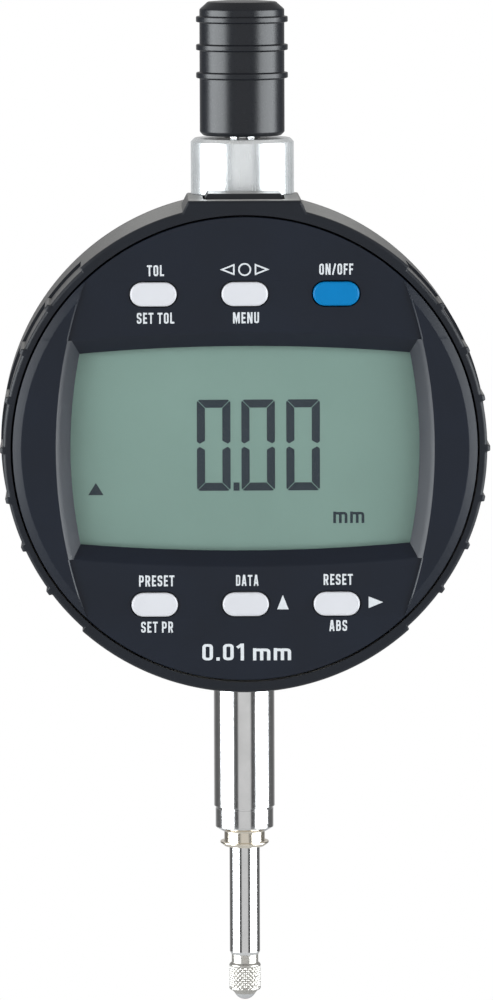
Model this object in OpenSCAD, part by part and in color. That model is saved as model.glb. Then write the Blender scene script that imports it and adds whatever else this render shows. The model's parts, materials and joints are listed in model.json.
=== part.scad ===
// Digital dial indicator with a clamping shank, a turning display head and a lifting cap.
// Origin: middle of the clamping shank, on its axis. +Z runs up the spindle, the dial faces -Y.
// Lengths are in millimetres. Dial parts are drawn in a dial frame: x right, y up, z to the front.

/* [Case] */
// Height of the dial centre above the middle of the shank
dial_z = 40.25; // [40:0.05:40.5]
// Outer radius of the case
case_r = 31.75; // [31.7:0.05:31.8]
// Front face of the rim, measured forward from the spindle axis
rim_z = 15; // [15:0.05:15.2]
// Back face of the rear cover, measured behind the spindle axis
back_z = 10; // [9.9:0.05:10.2]
// Height of the grip ribs on the flanks
rib_h = 0.4; // [0.3:0.05:0.5]
// Angle between neighbouring grip ribs
rib_pitch = 12; // [11:0.5:12]
// Half width of the boss at its top
boss_half_w = 7.25; // [7:0.05:7.4]
// Height of the boss top above the dial centre
boss_h = 32.2; // [32.2:0.05:32.3]

/* [Shank and spindle] */
// Radius of the clamping shank
shank_r = 4; // [4:0.01:4.02]
// Visible length of the clamping shank
shank_len = 17; // [16.9:0.05:17.1]
// Radius of the spindle
spindle_r = 2; // [1.99:0.005:2.01]
// Radial running clearance of the spindle in its bushes
spindle_fit = 0.03; // [0.02:0.01:0.05]
// Measuring travel of the spindle
travel = 12.5; // [5:0.5:12.5]

/* [Lifting cap and collar] */
// Radius of the collar under the cap
collar_r = 6.75; // [6.7:0.05:6.8]
// Height of the collar
collar_h = 7.3; // [7.2:0.1:7.5]
// Radius of the cap between its ring ribs
cap_r = 5.55; // [5.4:0.05:5.7]
// Radius of the ring ribs
cap_rib_r = 6.0; // [5.9:0.05:6.1]
// Length of the cap
cap_h = 17.65; // [17.5:0.05:18]
// Distance between ring ribs
cap_rib_pitch = 3.65; // [3.5:0.05:3.7]

/* [Display head] */
// Radius of the turning display head
head_r = 30.05; // [30:0.01:30.1]
// Gap between the head and the case rim
head_gap = 0.25; // [0.2:0.01:0.3]
// Height of the side crescents above the face
crescent_h = 0.5; // [0.4:0.05:0.6]
// Half width of the visible screen
screen_half_w = 22.6; // [22.4:0.05:22.8]
// Half height of the visible screen
screen_half_h = 13.3; // [13.1:0.05:13.4]
// Distance between neighbouring keys
key_pitch = 11.8; // [11.6:0.05:12]
// Distance of each key row from the dial centre
key_row = 20.15; // [20:0.05:20.3]
// Length of a key cap
key_w = 6.0; // [5.8:0.05:6.1]
// Width of a key cap
key_h = 3.1; // [3:0.05:3.2]
// Key travel
key_travel = 0.4; // [0.3:0.05:0.45]

/* [Battery and data port] */
// Distance of the battery centre to the left of the spindle axis
battery_x = 17; // [17:0.05:17.1]
// Radius of the battery door
door_r = 10.7; // [10.6:0.02:10.72]

/* [Hidden] */
$fn = 96;
eps = 0.02;
fine_fn = 720;

black = "#26272c";
soft_black = "#1b1c1f";
steel = "#c9ccd1";
bright = "#e2e4e8";
brass = "#c9a45c";
board_green = "#1f5b41";
key_white = "#e4e6ec";
key_blue = "#0a80cf";
glass_grey = "#93a79f";

// Case levels, in the dial frame
joint_z = -8;
pocket_z = 4;
cavity_r = 29.5;
flange_z0 = 6.3;
flange_z1 = 7.5;
flange_r = 27.5;
well_r = head_r + head_gap;
well_chamfer = 0.5;
boss_foot_w = 8.45;
boss_foot_y = 29.8;
boss_rear_z = -2;
arc_half = 42;
rib_count_half = 3;
rib_tip_r = case_r - 0.03;
rib_tip_w = 0.35;
rib_foot_w = 0.65;
rib_foot_r = case_r - 1;
cover_round = 0.7;
gasket_r = 30.7;
gasket_in_r = 29.95;
gasket_h = 0.8;
gasket_gap = 0.05;

// Notch and seat block in front of the collar
notch_half_w = 5.3;
notch_depth = 0.8;
notch_front_z = 12.2;
seat_rear_z = 4.5;
seat_front_z = 12;
seat_half_w = 5.0;
seat_top_half_w = 4.65;
seat_rise = 0.73;
seat_side_h = 0.2;

// Screws of the rear cover
cover_screw_xy = 19.4;
cover_screw_r = 1.0;
cover_head_r = 1.85;
cover_head_low = 1;
cover_recess_r = 1.95;
cover_socket_r = 0.8;
cover_socket_low = 0.7;
screw_post_r = 2.4;
hole_gap = 0.03;

// Frame inside the case
block_half_w = 7;
block_y0 = 22;
block_low = 27;
block_high = 28.3;
block_rear_z = -5;
block_front_z = 3.2;
plate_z = -3.8;
ear_half_w = 12.5;
ear_z = -1.2;
ear_y1 = 25;
ledge_x0 = 8;
ledge_x1 = 13;
ledge_y0 = 21.5;
ledge_y1 = 28.8;
ledge_z = 3;
pad_out_y = 29.6;
pad_half_z = 5;
frame_screw_x = 10.4;
frame_screw_y = 23.4;
frame_screw_r = 0.8;
frame_head_r = 1.5;
frame_head_h = 0.9;
frame_back_half_w = 6;
spindle_way_r = 2.6;
rod_x = 5;
rod_r = 1;
rod_end_y = 23.9;
reader_z = 4.2;
reader_half_w = 6.9;
reader_half_h = 24.7;
reader_screw_x = 5.2;
reader_screw_y = 23;
small_screw_r = 0.7;
small_head_r = 1.3;
chip_half = 3.5;
chip_h = 0.8;

// Spindle carrier and its spring
carrier_y0 = -21;
carrier_y1 = -11;
carrier_front_z = 2.4;
carrier_rear_z = -3;
carrier_x0 = -4;
carrier_x1 = 6.6;
carrier_screw_ys = [-18.5, -13.5];
carrier_screw_r = 0.6;
carrier_head_r = 1.1;
strip_z = 3.0;
strip_half_w = 3.6;
strip_top_y = travel - 11.5;
bumper_r = 3.0;
bumper_h = 0.95;
spring_x = -5.6;
spring_z = -0.5;
spring_r = 1.3;
spring_in_r = 0.9;
spring_pin_y = -12.6;
spring_pin_r = 0.4;
spring_pin_x = -6.7;
spring_pin_len = 3.75;
spring_post_r = 0.45;

// Shank levels, from the origin
shank_low = -shank_len / 2;
shank_top = shank_len / 2 + 0.15;
pad_y = 28.3;
pad_top = dial_z - pad_y;
shoulder_top = dial_z - block_low;
shank_end = shoulder_top + 2;
shank_bore_r = 3.2;
shank_root_r = 4.3;
shank_flange_r = 5.2;
nose_end = shank_low - 3.4;
nose_r = 3.82;
nose_bore_r = 2.7;
nose_sleeve_r = 3.17;
nose_sleeve_h = 4;
nose_groove_r = 3.72;
nose_groove_h = 0.3;
nose_cone_h = 0.6;
nose_end_r = 2.8;
bush_in_r = spindle_r + spindle_fit;
upper_bush_r = 3.2;
bush_top_z = -5;
bush_r = 2.675;
bush_lip_r = 3.2;
bush_lip_h = 0.2;
bush_lip_z = nose_end - 1.35;
bush_end_r = 2.6;
bush_end_z = bush_lip_z - 0.65;
guide_bush_z0 = 3;
guide_bush_z1 = 13;
spindle_low = -28.4;
spindle_bevel = 0.3;
stud_r = 1.2;
stud_h = 4.2;
contact_neck_r = 1.75;
contact_r = 2.075;
knurl_top = -29.8;
knurl_low = -33.0;
ball_r = 1.5;
ball_z = -33;

// Collar and cap levels
collar_low = dial_z + boss_h;
collar_top = collar_low + collar_h;
collar_stem_r = 4.5;
collar_stem_low = dial_z + 25;
collar_bore_r = 3.23;
collar_bevel = 0.5;
collar_mouth_r = 2.4;
collar_mouth_h = 0.45;
seal_h = 0.98;
cap_low = collar_top + 0.35;
cap_top = cap_low + cap_h;
cap_bore_r = 3.43;
cap_bore_h = 9.1;
cap_bevel = 0.4;
cap_rib_drop = 2.5;
insert_r = 3.4;
spindle_top = cap_low + 9;

// Levels of the display head, in the dial frame
face_z = rim_z;
plate_low_z = 13;
lens_top_z = 13.5;
lens_low_z = 12.7;
lens_half = [23.6, 14.4];
lens_gap = 0.05;
lcd_low_z = 10.95;
lcd_top_z = 12.65;
lcd_half = [23.6, 14.8];
reflector_half = [21.5, 12.8];
reflector_low_z = 10.6;
zebra_half_w = 21;
zebra_y0 = 13.2;
board_z0 = 9;
board_z1 = 10;
skirt_z = 7.7;
head_cavity_r = 28.5;
back_plate_z0 = 7.55;
back_plate_z1 = 8.1;
hub_r = flange_r - 0.08;
hub_low_z = 6.2;
hub_in_r = 22;
keeper_z0 = 5.3;
keeper_z1 = 6.15;
keeper_r = 28.4;
lug_r = 29.2;
lug_half = 43;
stop_r = 0.35;
stop_at = 28.85;
stop_low_z = 5.35;
friction_r = 28.35;
board_r = 27.3;
head_screw_x = 6;
head_screw_y = 25;
head_screw_r = 0.75;
head_post_r = 1.6;
head_seat_z = 7.0;
ring_screw_at = 24.3;
ring_screw_r = 0.6;
ring_seat_z = keeper_z0 + 0.45;
back_foot_x = 16;
back_foot_y = 20;
cable_hole_r = 10;

// Window pocket: side arcs and top and bottom arcs, sloping down to the lens
side_arc_r = 64.5;
side_arc_x = 40.1;
side_slope = 0.9;
slope_h = 3;
slope_below = 0.5;
end_arc_y = 235.8;
end_slope = 1.27;
bevel_in_r = 28.9;

// Keys
key_gap = 0.13;
key_top_z = 15.45;
key_flange_z0 = 12.2;
key_flange_z1 = 12.95;
key_flange_w = 1.2;
key_stem_r = 1.2;
dome_r = 2.4;
dome_crown_r = 1.5;
dome_z = board_z1 + 0.25;
dome_top_z = board_z1 + 0.7;
key_stem_z = dome_top_z + key_travel + 0.1;

// Battery and data port
battery_r = 10;
battery_z0 = -7;
battery_z1 = -3.8;
battery_step = 0.3;
holder_r = 10.9;
holder_z0 = -7.2;
holder_z1 = -3.4;
holder_top = -2.6;
holder_post_y = 14.2;
holder_post_r = 1.8;
holder_foot_z = -5.2;
holder_ear_z = -4.2;
door_hole_r = 10.8;
door_in_z = -7.4;
door_room_r = 8.5;
door_room_z = -8.4;
door_lug_r = 11.7;
door_lug_z = joint_z + 0.08;
door_lug_h = 0.52;
door_lug_half = 14;
door_slot_half = [6, 0.8];
door_slot_depth = 0.9;
door_lock_turn = 45;
door_bevel = 0.3;
seal_in_r = 10.15;
seal_z0 = -9.1;
seal_z1 = -8.5;
port_half_w = 4.1;
port_z0 = -3.6;
port_z1 = 0.6;
port_recess_x = 30.6;
port_recess_half = 5.3;
port_recess_z0 = -4.5;
port_recess_z1 = 1.5;
port_margin = 0.1;
plug_half_w = 3.9;
plug_in_x = 29.6;

// Ribbon cable wound as a flat spiral, so that the head can turn
spiral_turns = 2.5;
spiral_steps = 60;
spiral_r = 5;
spiral_pitch = 1.5;
cable_half = 0.08;
cable_z = 5.3;
cable_w = 1.8;

// Places a dial-frame shape in the part's frame
module dial() translate([0, 0, dial_z]) rotate([90, 0, 0]) children();

module disc(r, z0, z1) translate([0, 0, z0]) cylinder(r = r, h = z1 - z0);

module ring(r_out, r_in, z0, z1) difference() {
    disc(r_out, z0, z1);
    disc(r_in, z0 - 1, z1 + 1);
}

module slab(x0, x1, y0, y1, z0, z1) translate([x0, y0, z0]) cube([x1 - x0, y1 - y0, z1 - z0]);

module turned(points) rotate_extrude() polygon(points);

// Flat wedge of a given half angle about the +X direction
module wedge(half) polygon([[0, 0], [60 * cos(half), -60 * sin(half)],
                            [60 * cos(half / 2), -60 * sin(half / 2)], [60, 0],
                            [60 * cos(half / 2), 60 * sin(half / 2)],
                            [60 * cos(half), 60 * sin(half)]]);

// Rod along the dial frame's y axis, which is the part's Z axis
module upright(x, z, r, y0, y1) translate([x, y0, z]) rotate([-90, 0, 0]) cylinder(r = r, h = y1 - y0);

module at_corners(x, y) for (sx = [-1, 1]) for (sy = [-1, 1]) translate([sx * x, sy * y, 0])
    children();

module both_sides() for (s = [0, 1]) mirror([s, 0, 0]) children();

module both_ends() for (s = [0, 1]) mirror([0, s, 0]) children();

module box_of(half, z0, z1) slab(-half[0], half[0], -half[1], half[1], z0, z1);

// ---- Case ----

module grip_rib() translate([0, 0, pocket_z]) linear_extrude(rim_z - pocket_z)
    polygon([[rib_foot_r, -rib_foot_w], [rib_tip_r, -rib_tip_w],
             [rib_tip_r, rib_tip_w], [rib_foot_r, rib_foot_w]]);

module case_outline() {
    disc(case_r, joint_z, pocket_z);
    disc(case_r - rib_h, pocket_z, rim_z);
    for (a = [90, 270]) rotate(a) {
        translate([0, 0, pocket_z]) linear_extrude(rim_z - pocket_z) intersection() {
            circle(r = case_r);
            wedge(arc_half);
        }
    }
    for (side = [0, 180]) for (i = [-rib_count_half:rib_count_half])
        rotate(side + i * rib_pitch) grip_rib();
    translate([0, 0, boss_rear_z]) linear_extrude(rim_z - boss_rear_z)
        polygon([[-boss_foot_w, boss_foot_y], [-boss_half_w, boss_h],
                 [boss_half_w, boss_h], [boss_foot_w, boss_foot_y]]);
}

module case_room() {
    disc(cavity_r, joint_z - 1, flange_z0);
    disc(flange_r, flange_z0 - 1, flange_z1 + 1);
    disc(well_r, flange_z1, rim_z + 1);
    translate([0, 0, rim_z - well_chamfer])
        cylinder(r1 = well_r, r2 = well_r + 2 * well_chamfer, h = 2 * well_chamfer);
}

module case_bosses() {
    at_corners(cover_screw_xy, cover_screw_xy) disc(screw_post_r, joint_z, 0);
    both_sides() both_ends() slab(ledge_x0, ledge_x1, ledge_y0, ledge_y1, 0, ledge_z);
    slab(-block_half_w, block_half_w, -pad_out_y, -pad_y, -pad_half_z, pad_half_z);
    slab(24, 29.6, -4.5, 4.5, 0.5, 2);
}

module front_case() color(black) dial() difference() {
    union() {
        difference() {
            case_outline();
            case_room();
        }
        case_bosses();
    }
    at_corners(cover_screw_xy, cover_screw_xy) disc(cover_screw_r + hole_gap, joint_z - 1, -2);
    at_corners(frame_screw_x, frame_screw_y) disc(frame_screw_r + hole_gap, -1, 2.6);
    ring(gasket_r + gasket_gap, gasket_in_r - gasket_gap, joint_z - 1, joint_z + gasket_h + gasket_gap);
    upright(0, 0, shank_root_r + hole_gap, -33, -27);
    upright(0, 0, collar_stem_r + hole_gap, 27, 33);
    slab(-notch_half_w, notch_half_w, boss_h - notch_depth, boss_h + 1,
         seat_rear_z - 0.1, notch_front_z);
    translate([0, stop_at, 0]) disc(stop_r + hole_gap / 2, flange_z0 - 1, flange_z1 - 0.3);
    slab(28, 33, -port_half_w, port_half_w, port_z0, port_z1);
    slab(port_recess_x, 33, -port_recess_half, port_recess_half, port_recess_z0, port_recess_z1);
}

module at_holder_screws() for (sy = [-1, 1]) translate([-battery_x, sy * holder_post_y, 0])
    children();

module rear_cover() color(soft_black) dial() difference() {
    union() {
        turned([[0, joint_z], [0, -back_z], [case_r - cover_round, -back_z],
                [case_r, -back_z + cover_round], [case_r, joint_z]]);
        at_holder_screws() disc(holder_post_r, joint_z - eps, holder_foot_z);
    }
    at_corners(cover_screw_xy, cover_screw_xy) {
        disc(cover_screw_r + hole_gap, -back_z - 1, joint_z + 1);
        disc(cover_recess_r, -back_z - 1, -back_z + cover_head_low);
    }
    translate([-battery_x, 0, 0]) {
        disc(door_hole_r, -back_z - 1, joint_z + 1);
        for (a = [0:120:240]) rotate(a - door_lock_turn) translate([0, 0, -back_z + 0.9])
            linear_extrude(4) intersection() {
                circle(r = door_lug_r + 0.15);
                wedge(door_lug_half + 3);
            }
    }
    at_holder_screws() disc(small_screw_r + hole_gap, -7.6, -4);
}

module cover_gasket() color(soft_black) dial()
    ring(gasket_r, gasket_in_r, joint_z, joint_z + gasket_h);

module cover_screws() color(steel) dial() at_corners(cover_screw_xy, cover_screw_xy) difference() {
    union() {
        disc(cover_head_r, -back_z + 0.1, -back_z + cover_head_low);
        disc(cover_screw_r, -back_z + cover_head_low - eps, -2.5);
    }
    disc(cover_socket_r, -back_z - 1, -back_z + cover_socket_low, $fn = 6);
}

module collar_seat() color(soft_black) dial() difference() {
    translate([0, 0, seat_rear_z]) linear_extrude(seat_front_z - seat_rear_z)
        polygon([[-seat_half_w, boss_h - notch_depth], [-seat_half_w, boss_h + seat_side_h],
                 [-seat_top_half_w, boss_h + seat_rise], [seat_top_half_w, boss_h + seat_rise],
                 [seat_half_w, boss_h + seat_side_h], [seat_half_w, boss_h - notch_depth]]);
    upright(0, 0, collar_r + 0.06, boss_h, boss_h + 2);
    upright(0, 0, collar_stem_r + 0.1, boss_h - 2, boss_h + 2);
}

module shank() color(bright) turned([
    [shank_bore_r, shank_low], [shank_r, shank_low], [shank_r, shank_top],
    [shank_root_r, shank_top], [shank_root_r, pad_top], [shank_flange_r, pad_top],
    [shank_flange_r, shoulder_top], [shank_r, shoulder_top], [shank_r, shank_end],
    [shank_bore_r, shank_end]]);

module shank_nose() color(bright) turned([
    [nose_bore_r, shank_low + nose_sleeve_h], [nose_sleeve_r, shank_low + nose_sleeve_h],
    [nose_sleeve_r, shank_low], [nose_groove_r, shank_low],
    [nose_groove_r, shank_low - nose_groove_h], [nose_r, shank_low - nose_groove_h],
    [nose_r, nose_end + nose_cone_h], [nose_end_r, nose_end], [nose_bore_r, nose_end]]);

module lower_bush() color(brass) turned([
    [bush_in_r, bush_top_z], [bush_r, bush_top_z], [bush_r, bush_lip_z], [bush_lip_r, bush_lip_z],
    [bush_lip_r, bush_lip_z - bush_lip_h], [bush_end_r, bush_end_z], [bush_in_r, bush_end_z]]);

module guide_bush() color(brass) ring(nose_sleeve_r, bush_in_r, guide_bush_z0, guide_bush_z1);

module collar() color(bright) turned([
    [collar_bore_r, collar_stem_low], [collar_stem_r, collar_stem_low],
    [collar_stem_r, collar_low], [collar_r, collar_low], [collar_r, collar_top - collar_bevel],
    [collar_r - collar_bevel, collar_top], [collar_mouth_r, collar_top],
    [collar_mouth_r, collar_top - collar_mouth_h], [collar_bore_r, collar_top - collar_mouth_h]]);

module upper_bush() color(brass) ring(upper_bush_r, bush_in_r, dial_z + 26, collar_top - 1.5);

module spindle_seal() color(soft_black)
    ring(upper_bush_r, spindle_r + 0.05, collar_top - collar_mouth_h - seal_h - 0.02,
         collar_top - collar_mouth_h - 0.02);

// ---- Frame and measuring system ----

module main_frame() color(steel) dial() difference() {
    union() {
        slab(-frame_back_half_w, frame_back_half_w, -block_low, block_high, block_rear_z, plate_z);
        slab(-block_half_w, block_half_w, -block_low, -block_y0, block_rear_z, block_front_z);
        slab(-block_half_w, block_half_w, block_y0, block_high, block_rear_z, block_front_z);
        both_ends() slab(-ear_half_w, ear_half_w, block_y0, ear_y1, ear_z, 0);
    }
    upright(0, 0, spindle_way_r, -30, 30);
    upright(0, 0, shank_r + hole_gap, -30, -block_low + 2.05);
    upright(0, 0, collar_stem_r + hole_gap, 24.95, 30);
    upright(rod_x, 0, rod_r + 0.01, -rod_end_y - 0.1, rod_end_y + 0.1);
    upright(spring_x, spring_z, spring_post_r + 0.01, -23.5, -20);
    at_corners(frame_screw_x, frame_screw_y) disc(frame_screw_r + hole_gap, -3, 1);
    at_corners(reader_screw_x, reader_screw_y) disc(small_screw_r + hole_gap, 1.5, 5);
}

module frame_screws() color(steel) dial() at_corners(frame_screw_x, frame_screw_y) {
    disc(frame_head_r, ear_z - frame_head_h, ear_z);
    disc(frame_screw_r, ear_z - eps, 2.5);
}

module guide_rod() color(bright) dial() upright(rod_x, 0, rod_r, -rod_end_y, rod_end_y);

module reader_board() color(board_green) dial() difference() {
    slab(-reader_half_w, reader_half_w, -reader_half_h, reader_half_h, block_front_z, reader_z);
    at_corners(reader_screw_x, reader_screw_y) disc(small_screw_r + hole_gap, 1, 5);
}

module reader_chip() color(soft_black) dial()
    box_of([chip_half, chip_half], reader_z, reader_z + chip_h);

module reader_screws() color(steel) dial() at_corners(reader_screw_x, reader_screw_y) {
    disc(small_head_r, reader_z, reader_z + 0.75);
    disc(small_screw_r, 1.6, reader_z + eps);
}

module return_spring() color(steel) dial()
    translate([spring_x, 0, spring_z]) rotate([-90, 0, 0])
        ring(spring_r, spring_in_r, -block_y0, spring_pin_y - 0.45);

module spring_post() color(steel) dial() upright(spring_x, spring_z, spring_post_r, -23.4, -20.4);

module stop_pin() color(steel) dial() translate([0, stop_at, 0])
    disc(stop_r, stop_low_z, flange_z1 - 0.35);

function spiral_at(t, grow) =
    let (a = 360 * spiral_turns * t, r = spiral_r + spiral_pitch * spiral_turns * t + grow)
    [r * cos(a), r * sin(a)];

module flex_cable() color(brass) dial() translate([0, 0, cable_z]) linear_extrude(cable_w)
    polygon(concat([for (i = [0:spiral_steps]) spiral_at(i / spiral_steps, cable_half)],
                   [for (i = [spiral_steps:-1:0]) spiral_at(i / spiral_steps, -cable_half)]));

// ---- Battery and data port ----

module battery_holder() color(soft_black) dial() translate([-battery_x, 0, 0]) difference() {
    union() {
        ring(holder_r, battery_r + 0.25, holder_z0, holder_z1);
        disc(holder_r, holder_z1 - eps, holder_top);
        both_ends() difference() {
            union() {
                slab(-1.6, 1.6, holder_r - 0.5, holder_post_y, holder_foot_z, holder_ear_z);
                translate([0, holder_post_y, 0]) disc(holder_post_r, holder_foot_z, holder_ear_z);
            }
            translate([0, holder_post_y, 0]) disc(small_screw_r + hole_gap, -6, -3);
        }
    }
}

module holder_screws() color(steel) dial() at_holder_screws() {
    disc(small_head_r, holder_ear_z, holder_ear_z + 0.7);
    disc(small_screw_r, -7.5, holder_ear_z + eps);
}

module battery() color(bright) dial() translate([-battery_x, 0, 0]) {
    disc(battery_r, battery_z0, battery_z1 - battery_step);
    disc(battery_r - 1.1, battery_z1 - battery_step - eps, battery_z1);
}

module contact_plus() color(brass) dial() translate([-battery_x, 0, -6.6]) linear_extrude(2.2)
    intersection() {
        difference() {
            circle(r = battery_r + 0.22);
            circle(r = battery_r + 0.02);
        }
        wedge(20);
    }

module contact_minus() color(brass) dial() translate([-battery_x, 0, 0])
    slab(-6, 6, -2, 2, battery_z1, holder_z1 - eps);

module data_socket() color(soft_black) dial() difference() {
    slab(23.5, 29.1, -3.8, 3.8, -3.5, 0.5);
    slab(26.5, 30, -3.1, 3.1, -2.8, -0.2);
}

module data_cover() color(soft_black) dial() {
    intersection() {
        slab(port_recess_x + 0.05, 33, -port_recess_half + port_margin,
             port_recess_half - port_margin, port_recess_z0 + port_margin,
             port_recess_z1 - port_margin);
        disc(case_r - 0.05, -5, 2);
    }
    slab(plug_in_x, port_recess_x + port_margin, -plug_half_w, plug_half_w,
         port_z0 + 0.2, port_z1 - 0.2);
}

module battery_door() color(soft_black) dial() translate([-battery_x, 0, 0]) difference() {
    union() {
        turned([[0, door_in_z], [0, -back_z], [door_r - door_bevel, -back_z],
                [door_r, -back_z + door_bevel], [door_r, door_in_z]]);
        for (a = [0:120:240]) rotate(a) translate([0, 0, door_lug_z])
            linear_extrude(door_lug_h) intersection() {
                circle(r = door_lug_r);
                wedge(door_lug_half);
            }
    }
    box_of(door_slot_half, -back_z - 1, -back_z + door_slot_depth);
    ring(door_r + 1, seal_in_r, seal_z0, seal_z1);
    disc(door_room_r, door_room_z, door_in_z + 1);
}

module door_seal() color(steel) dial() translate([-battery_x, 0, 0])
    ring(door_r + 0.03, seal_in_r + 0.02, seal_z0 + 0.02, seal_z1 - 0.02);

// ---- Display head ----

module crescent_plate() difference() {
    translate([0, 0, face_z - eps])
        cylinder(r1 = head_r + (head_r - bevel_in_r) * eps / crescent_h, r2 = bevel_in_r,
                 h = crescent_h + eps);
    intersection_for (s = [-1, 1]) translate([s * side_arc_x, 0, 0])
        disc(side_arc_r, face_z - 1, face_z + 1, $fn = fine_fn);
}

// Cone whose radius at the lens grows by slope for each millimetre towards the face
module slope_cone(r, slope) translate([0, 0, lens_top_z - slope_below])
    cylinder(r1 = r - slope_below * slope, r2 = r + (slope_h - slope_below) * slope, h = slope_h,
             $fn = fine_fn);

module window_pocket() intersection() {
    intersection_for (s = [-1, 1]) translate([s * side_arc_x, 0, 0])
        slope_cone(side_arc_x + screen_half_w, side_slope);
    intersection_for (s = [-1, 1]) translate([0, s * end_arc_y, 0])
        slope_cone(end_arc_y + screen_half_h, end_slope);
}

module obround(w, h, z0, z1) {
    slab(-(w - h) / 2, (w - h) / 2, -h / 2, h / 2, z0, z1);
    for (s = [-1, 1]) translate([s * (w - h) / 2, 0, 0]) disc(h / 2, z0, z1);
}

module at_keys() for (row = [-1, 1]) for (col = [-1:1])
    translate([col * key_pitch, row * key_row, 0]) children();

module display_bezel() color(black) dial() difference() {
    union() {
        difference() {
            disc(head_r, skirt_z, face_z);
            disc(head_cavity_r, skirt_z - 1, plate_low_z);
        }
        crescent_plate();
        at_corners(head_screw_x, head_screw_y)
            disc(head_post_r, back_plate_z1 + 0.05, plate_low_z + eps);
    }
    window_pocket();
    box_of(lens_half + [lens_gap, lens_gap], plate_low_z - 1, lens_top_z);
    at_keys() obround(key_w + 2 * key_gap, key_h + 2 * key_gap, plate_low_z - 1, face_z + 2);
    at_corners(head_screw_x, head_screw_y) disc(head_screw_r + hole_gap, skirt_z, 12.2);
}

module window_lens() color(glass_grey, 0.4) dial() box_of(lens_half, lens_low_z, lens_top_z);

module lcd_panel() color(glass_grey) dial() box_of(lcd_half, lcd_low_z, lcd_top_z);

module lcd_reflector() color(steel) dial() box_of(reflector_half, reflector_low_z, lcd_low_z);

module zebra_strips() color("#b58d8d") dial() both_ends()
    slab(-zebra_half_w, zebra_half_w, zebra_y0, lcd_half[1], board_z1, lcd_low_z);

module main_board() color(board_green) dial() difference() {
    disc(board_r, board_z0, board_z1);
    at_corners(head_screw_x, head_screw_y) disc(1.75, board_z0 - 1, board_z1 + 1);
}

module board_components() color(soft_black) dial() {
    slab(-13, -3, -1, 9, 8.25, board_z0);
    slab(5, 11, 2, 7, 8.3, board_z0);
    slab(4, 12, -8, -5, 8.3, board_z0);
    for (x = [-12:4:0]) slab(x, x + 2, -8, -6.8, 8.4, board_z0);
}

module key_domes() color(steel) dial() at_keys() {
    disc(dome_r, board_z1, dome_z);
    disc(dome_crown_r, dome_z - eps, dome_top_z);
}

module at_ring_screws() for (a = [45:90:315]) rotate(a) translate([ring_screw_at, 0, 0]) children();

module display_back() color(soft_black) dial() difference() {
    union() {
        disc(keeper_r, back_plate_z0, back_plate_z1);
        disc(hub_r, hub_low_z, back_plate_z0 + eps);
        at_corners(back_foot_x, back_foot_y) disc(1.5, back_plate_z1 - eps, board_z0);
    }
    disc(hub_in_r, hub_low_z - 1, back_plate_z0);
    disc(cable_hole_r, hub_low_z - 1, back_plate_z1 + 1);
    at_corners(head_screw_x, head_screw_y) {
        disc(head_screw_r + hole_gap, hub_low_z - 1, back_plate_z1 + 1);
        disc(1.45, hub_low_z - 1, head_seat_z);
    }
    at_ring_screws() disc(ring_screw_r + hole_gap, hub_low_z - 1, 7.4);
}

module display_screws() color(steel) dial() at_corners(head_screw_x, head_screw_y) {
    disc(1.4, hub_low_z + 0.05, head_seat_z);
    disc(head_screw_r, head_seat_z - eps, 12);
}

module friction_ring() color("#5a4a3a") dial()
    ring(friction_r, hub_r + 0.12, keeper_z1, flange_z0 - 0.02);

module retaining_ring() color(steel) dial() difference() {
    union() {
        ring(keeper_r, hub_in_r + 0.5, keeper_z0, keeper_z1);
        rotate(-90) translate([0, 0, keeper_z0]) linear_extrude(keeper_z1 - keeper_z0) intersection() {
            difference() {
                circle(r = lug_r);
                circle(r = hub_in_r + 1);
            }
            wedge(lug_half);
        }
    }
    at_ring_screws() {
        disc(ring_screw_r + hole_gap, keeper_z0 - 1, keeper_z1 + 1);
        disc(1.25, keeper_z0 - 1, ring_seat_z);
    }
}

module ring_screws() color(steel) dial() at_ring_screws() {
    disc(1.2, keeper_z0 + 0.02, ring_seat_z);
    disc(ring_screw_r, ring_seat_z - eps, 7.3);
}

// One key at column col (-1 to 1) and row row (-1 or 1)
module key(col, row) dial() translate([col * key_pitch, row * key_row, 0]) {
    obround(key_w, key_h, key_flange_z1 - eps, key_top_z);
    obround(key_w + key_flange_w, key_h + key_flange_w, key_flange_z0, key_flange_z1);
    disc(key_stem_r, key_stem_z, key_flange_z0 + eps);
}

module key_tolerance() color(key_white) key(-1, 1);
module key_menu() color(key_white) key(0, 1);
module key_power() color(key_blue) key(1, 1);
module key_preset() color(key_white) key(-1, -1);
module key_data() color(key_white) key(0, -1);
module key_reset() color(key_white) key(1, -1);

// ---- Spindle ----

module spindle() color(bright) turned([
    [0, spindle_top], [spindle_r - spindle_bevel, spindle_top],
    [spindle_r, spindle_top - spindle_bevel], [spindle_r, spindle_low + 0.4],
    [spindle_r - 0.2, spindle_low], [stud_r + hole_gap, spindle_low],
    [stud_r + hole_gap, spindle_low + stud_h + 0.1], [0, spindle_low + stud_h + 0.1]]);

module contact_body() color(bright) difference() {
    turned([[0, spindle_low + stud_h], [stud_r, spindle_low + stud_h], [stud_r, spindle_low],
            [contact_neck_r, spindle_low], [contact_neck_r, knurl_top + 0.3],
            [2.0, knurl_top + 0.1], [contact_r, knurl_top], [contact_r, knurl_low],
            [1.9, -33.2], [1.6, -33.3], [1.2, -33.8], [0, -33.8]]);
    translate([0, 0, ball_z]) sphere(r = ball_r + hole_gap / 3);
}

module contact_ball() color(bright) translate([0, 0, ball_z]) sphere(r = ball_r);

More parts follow.
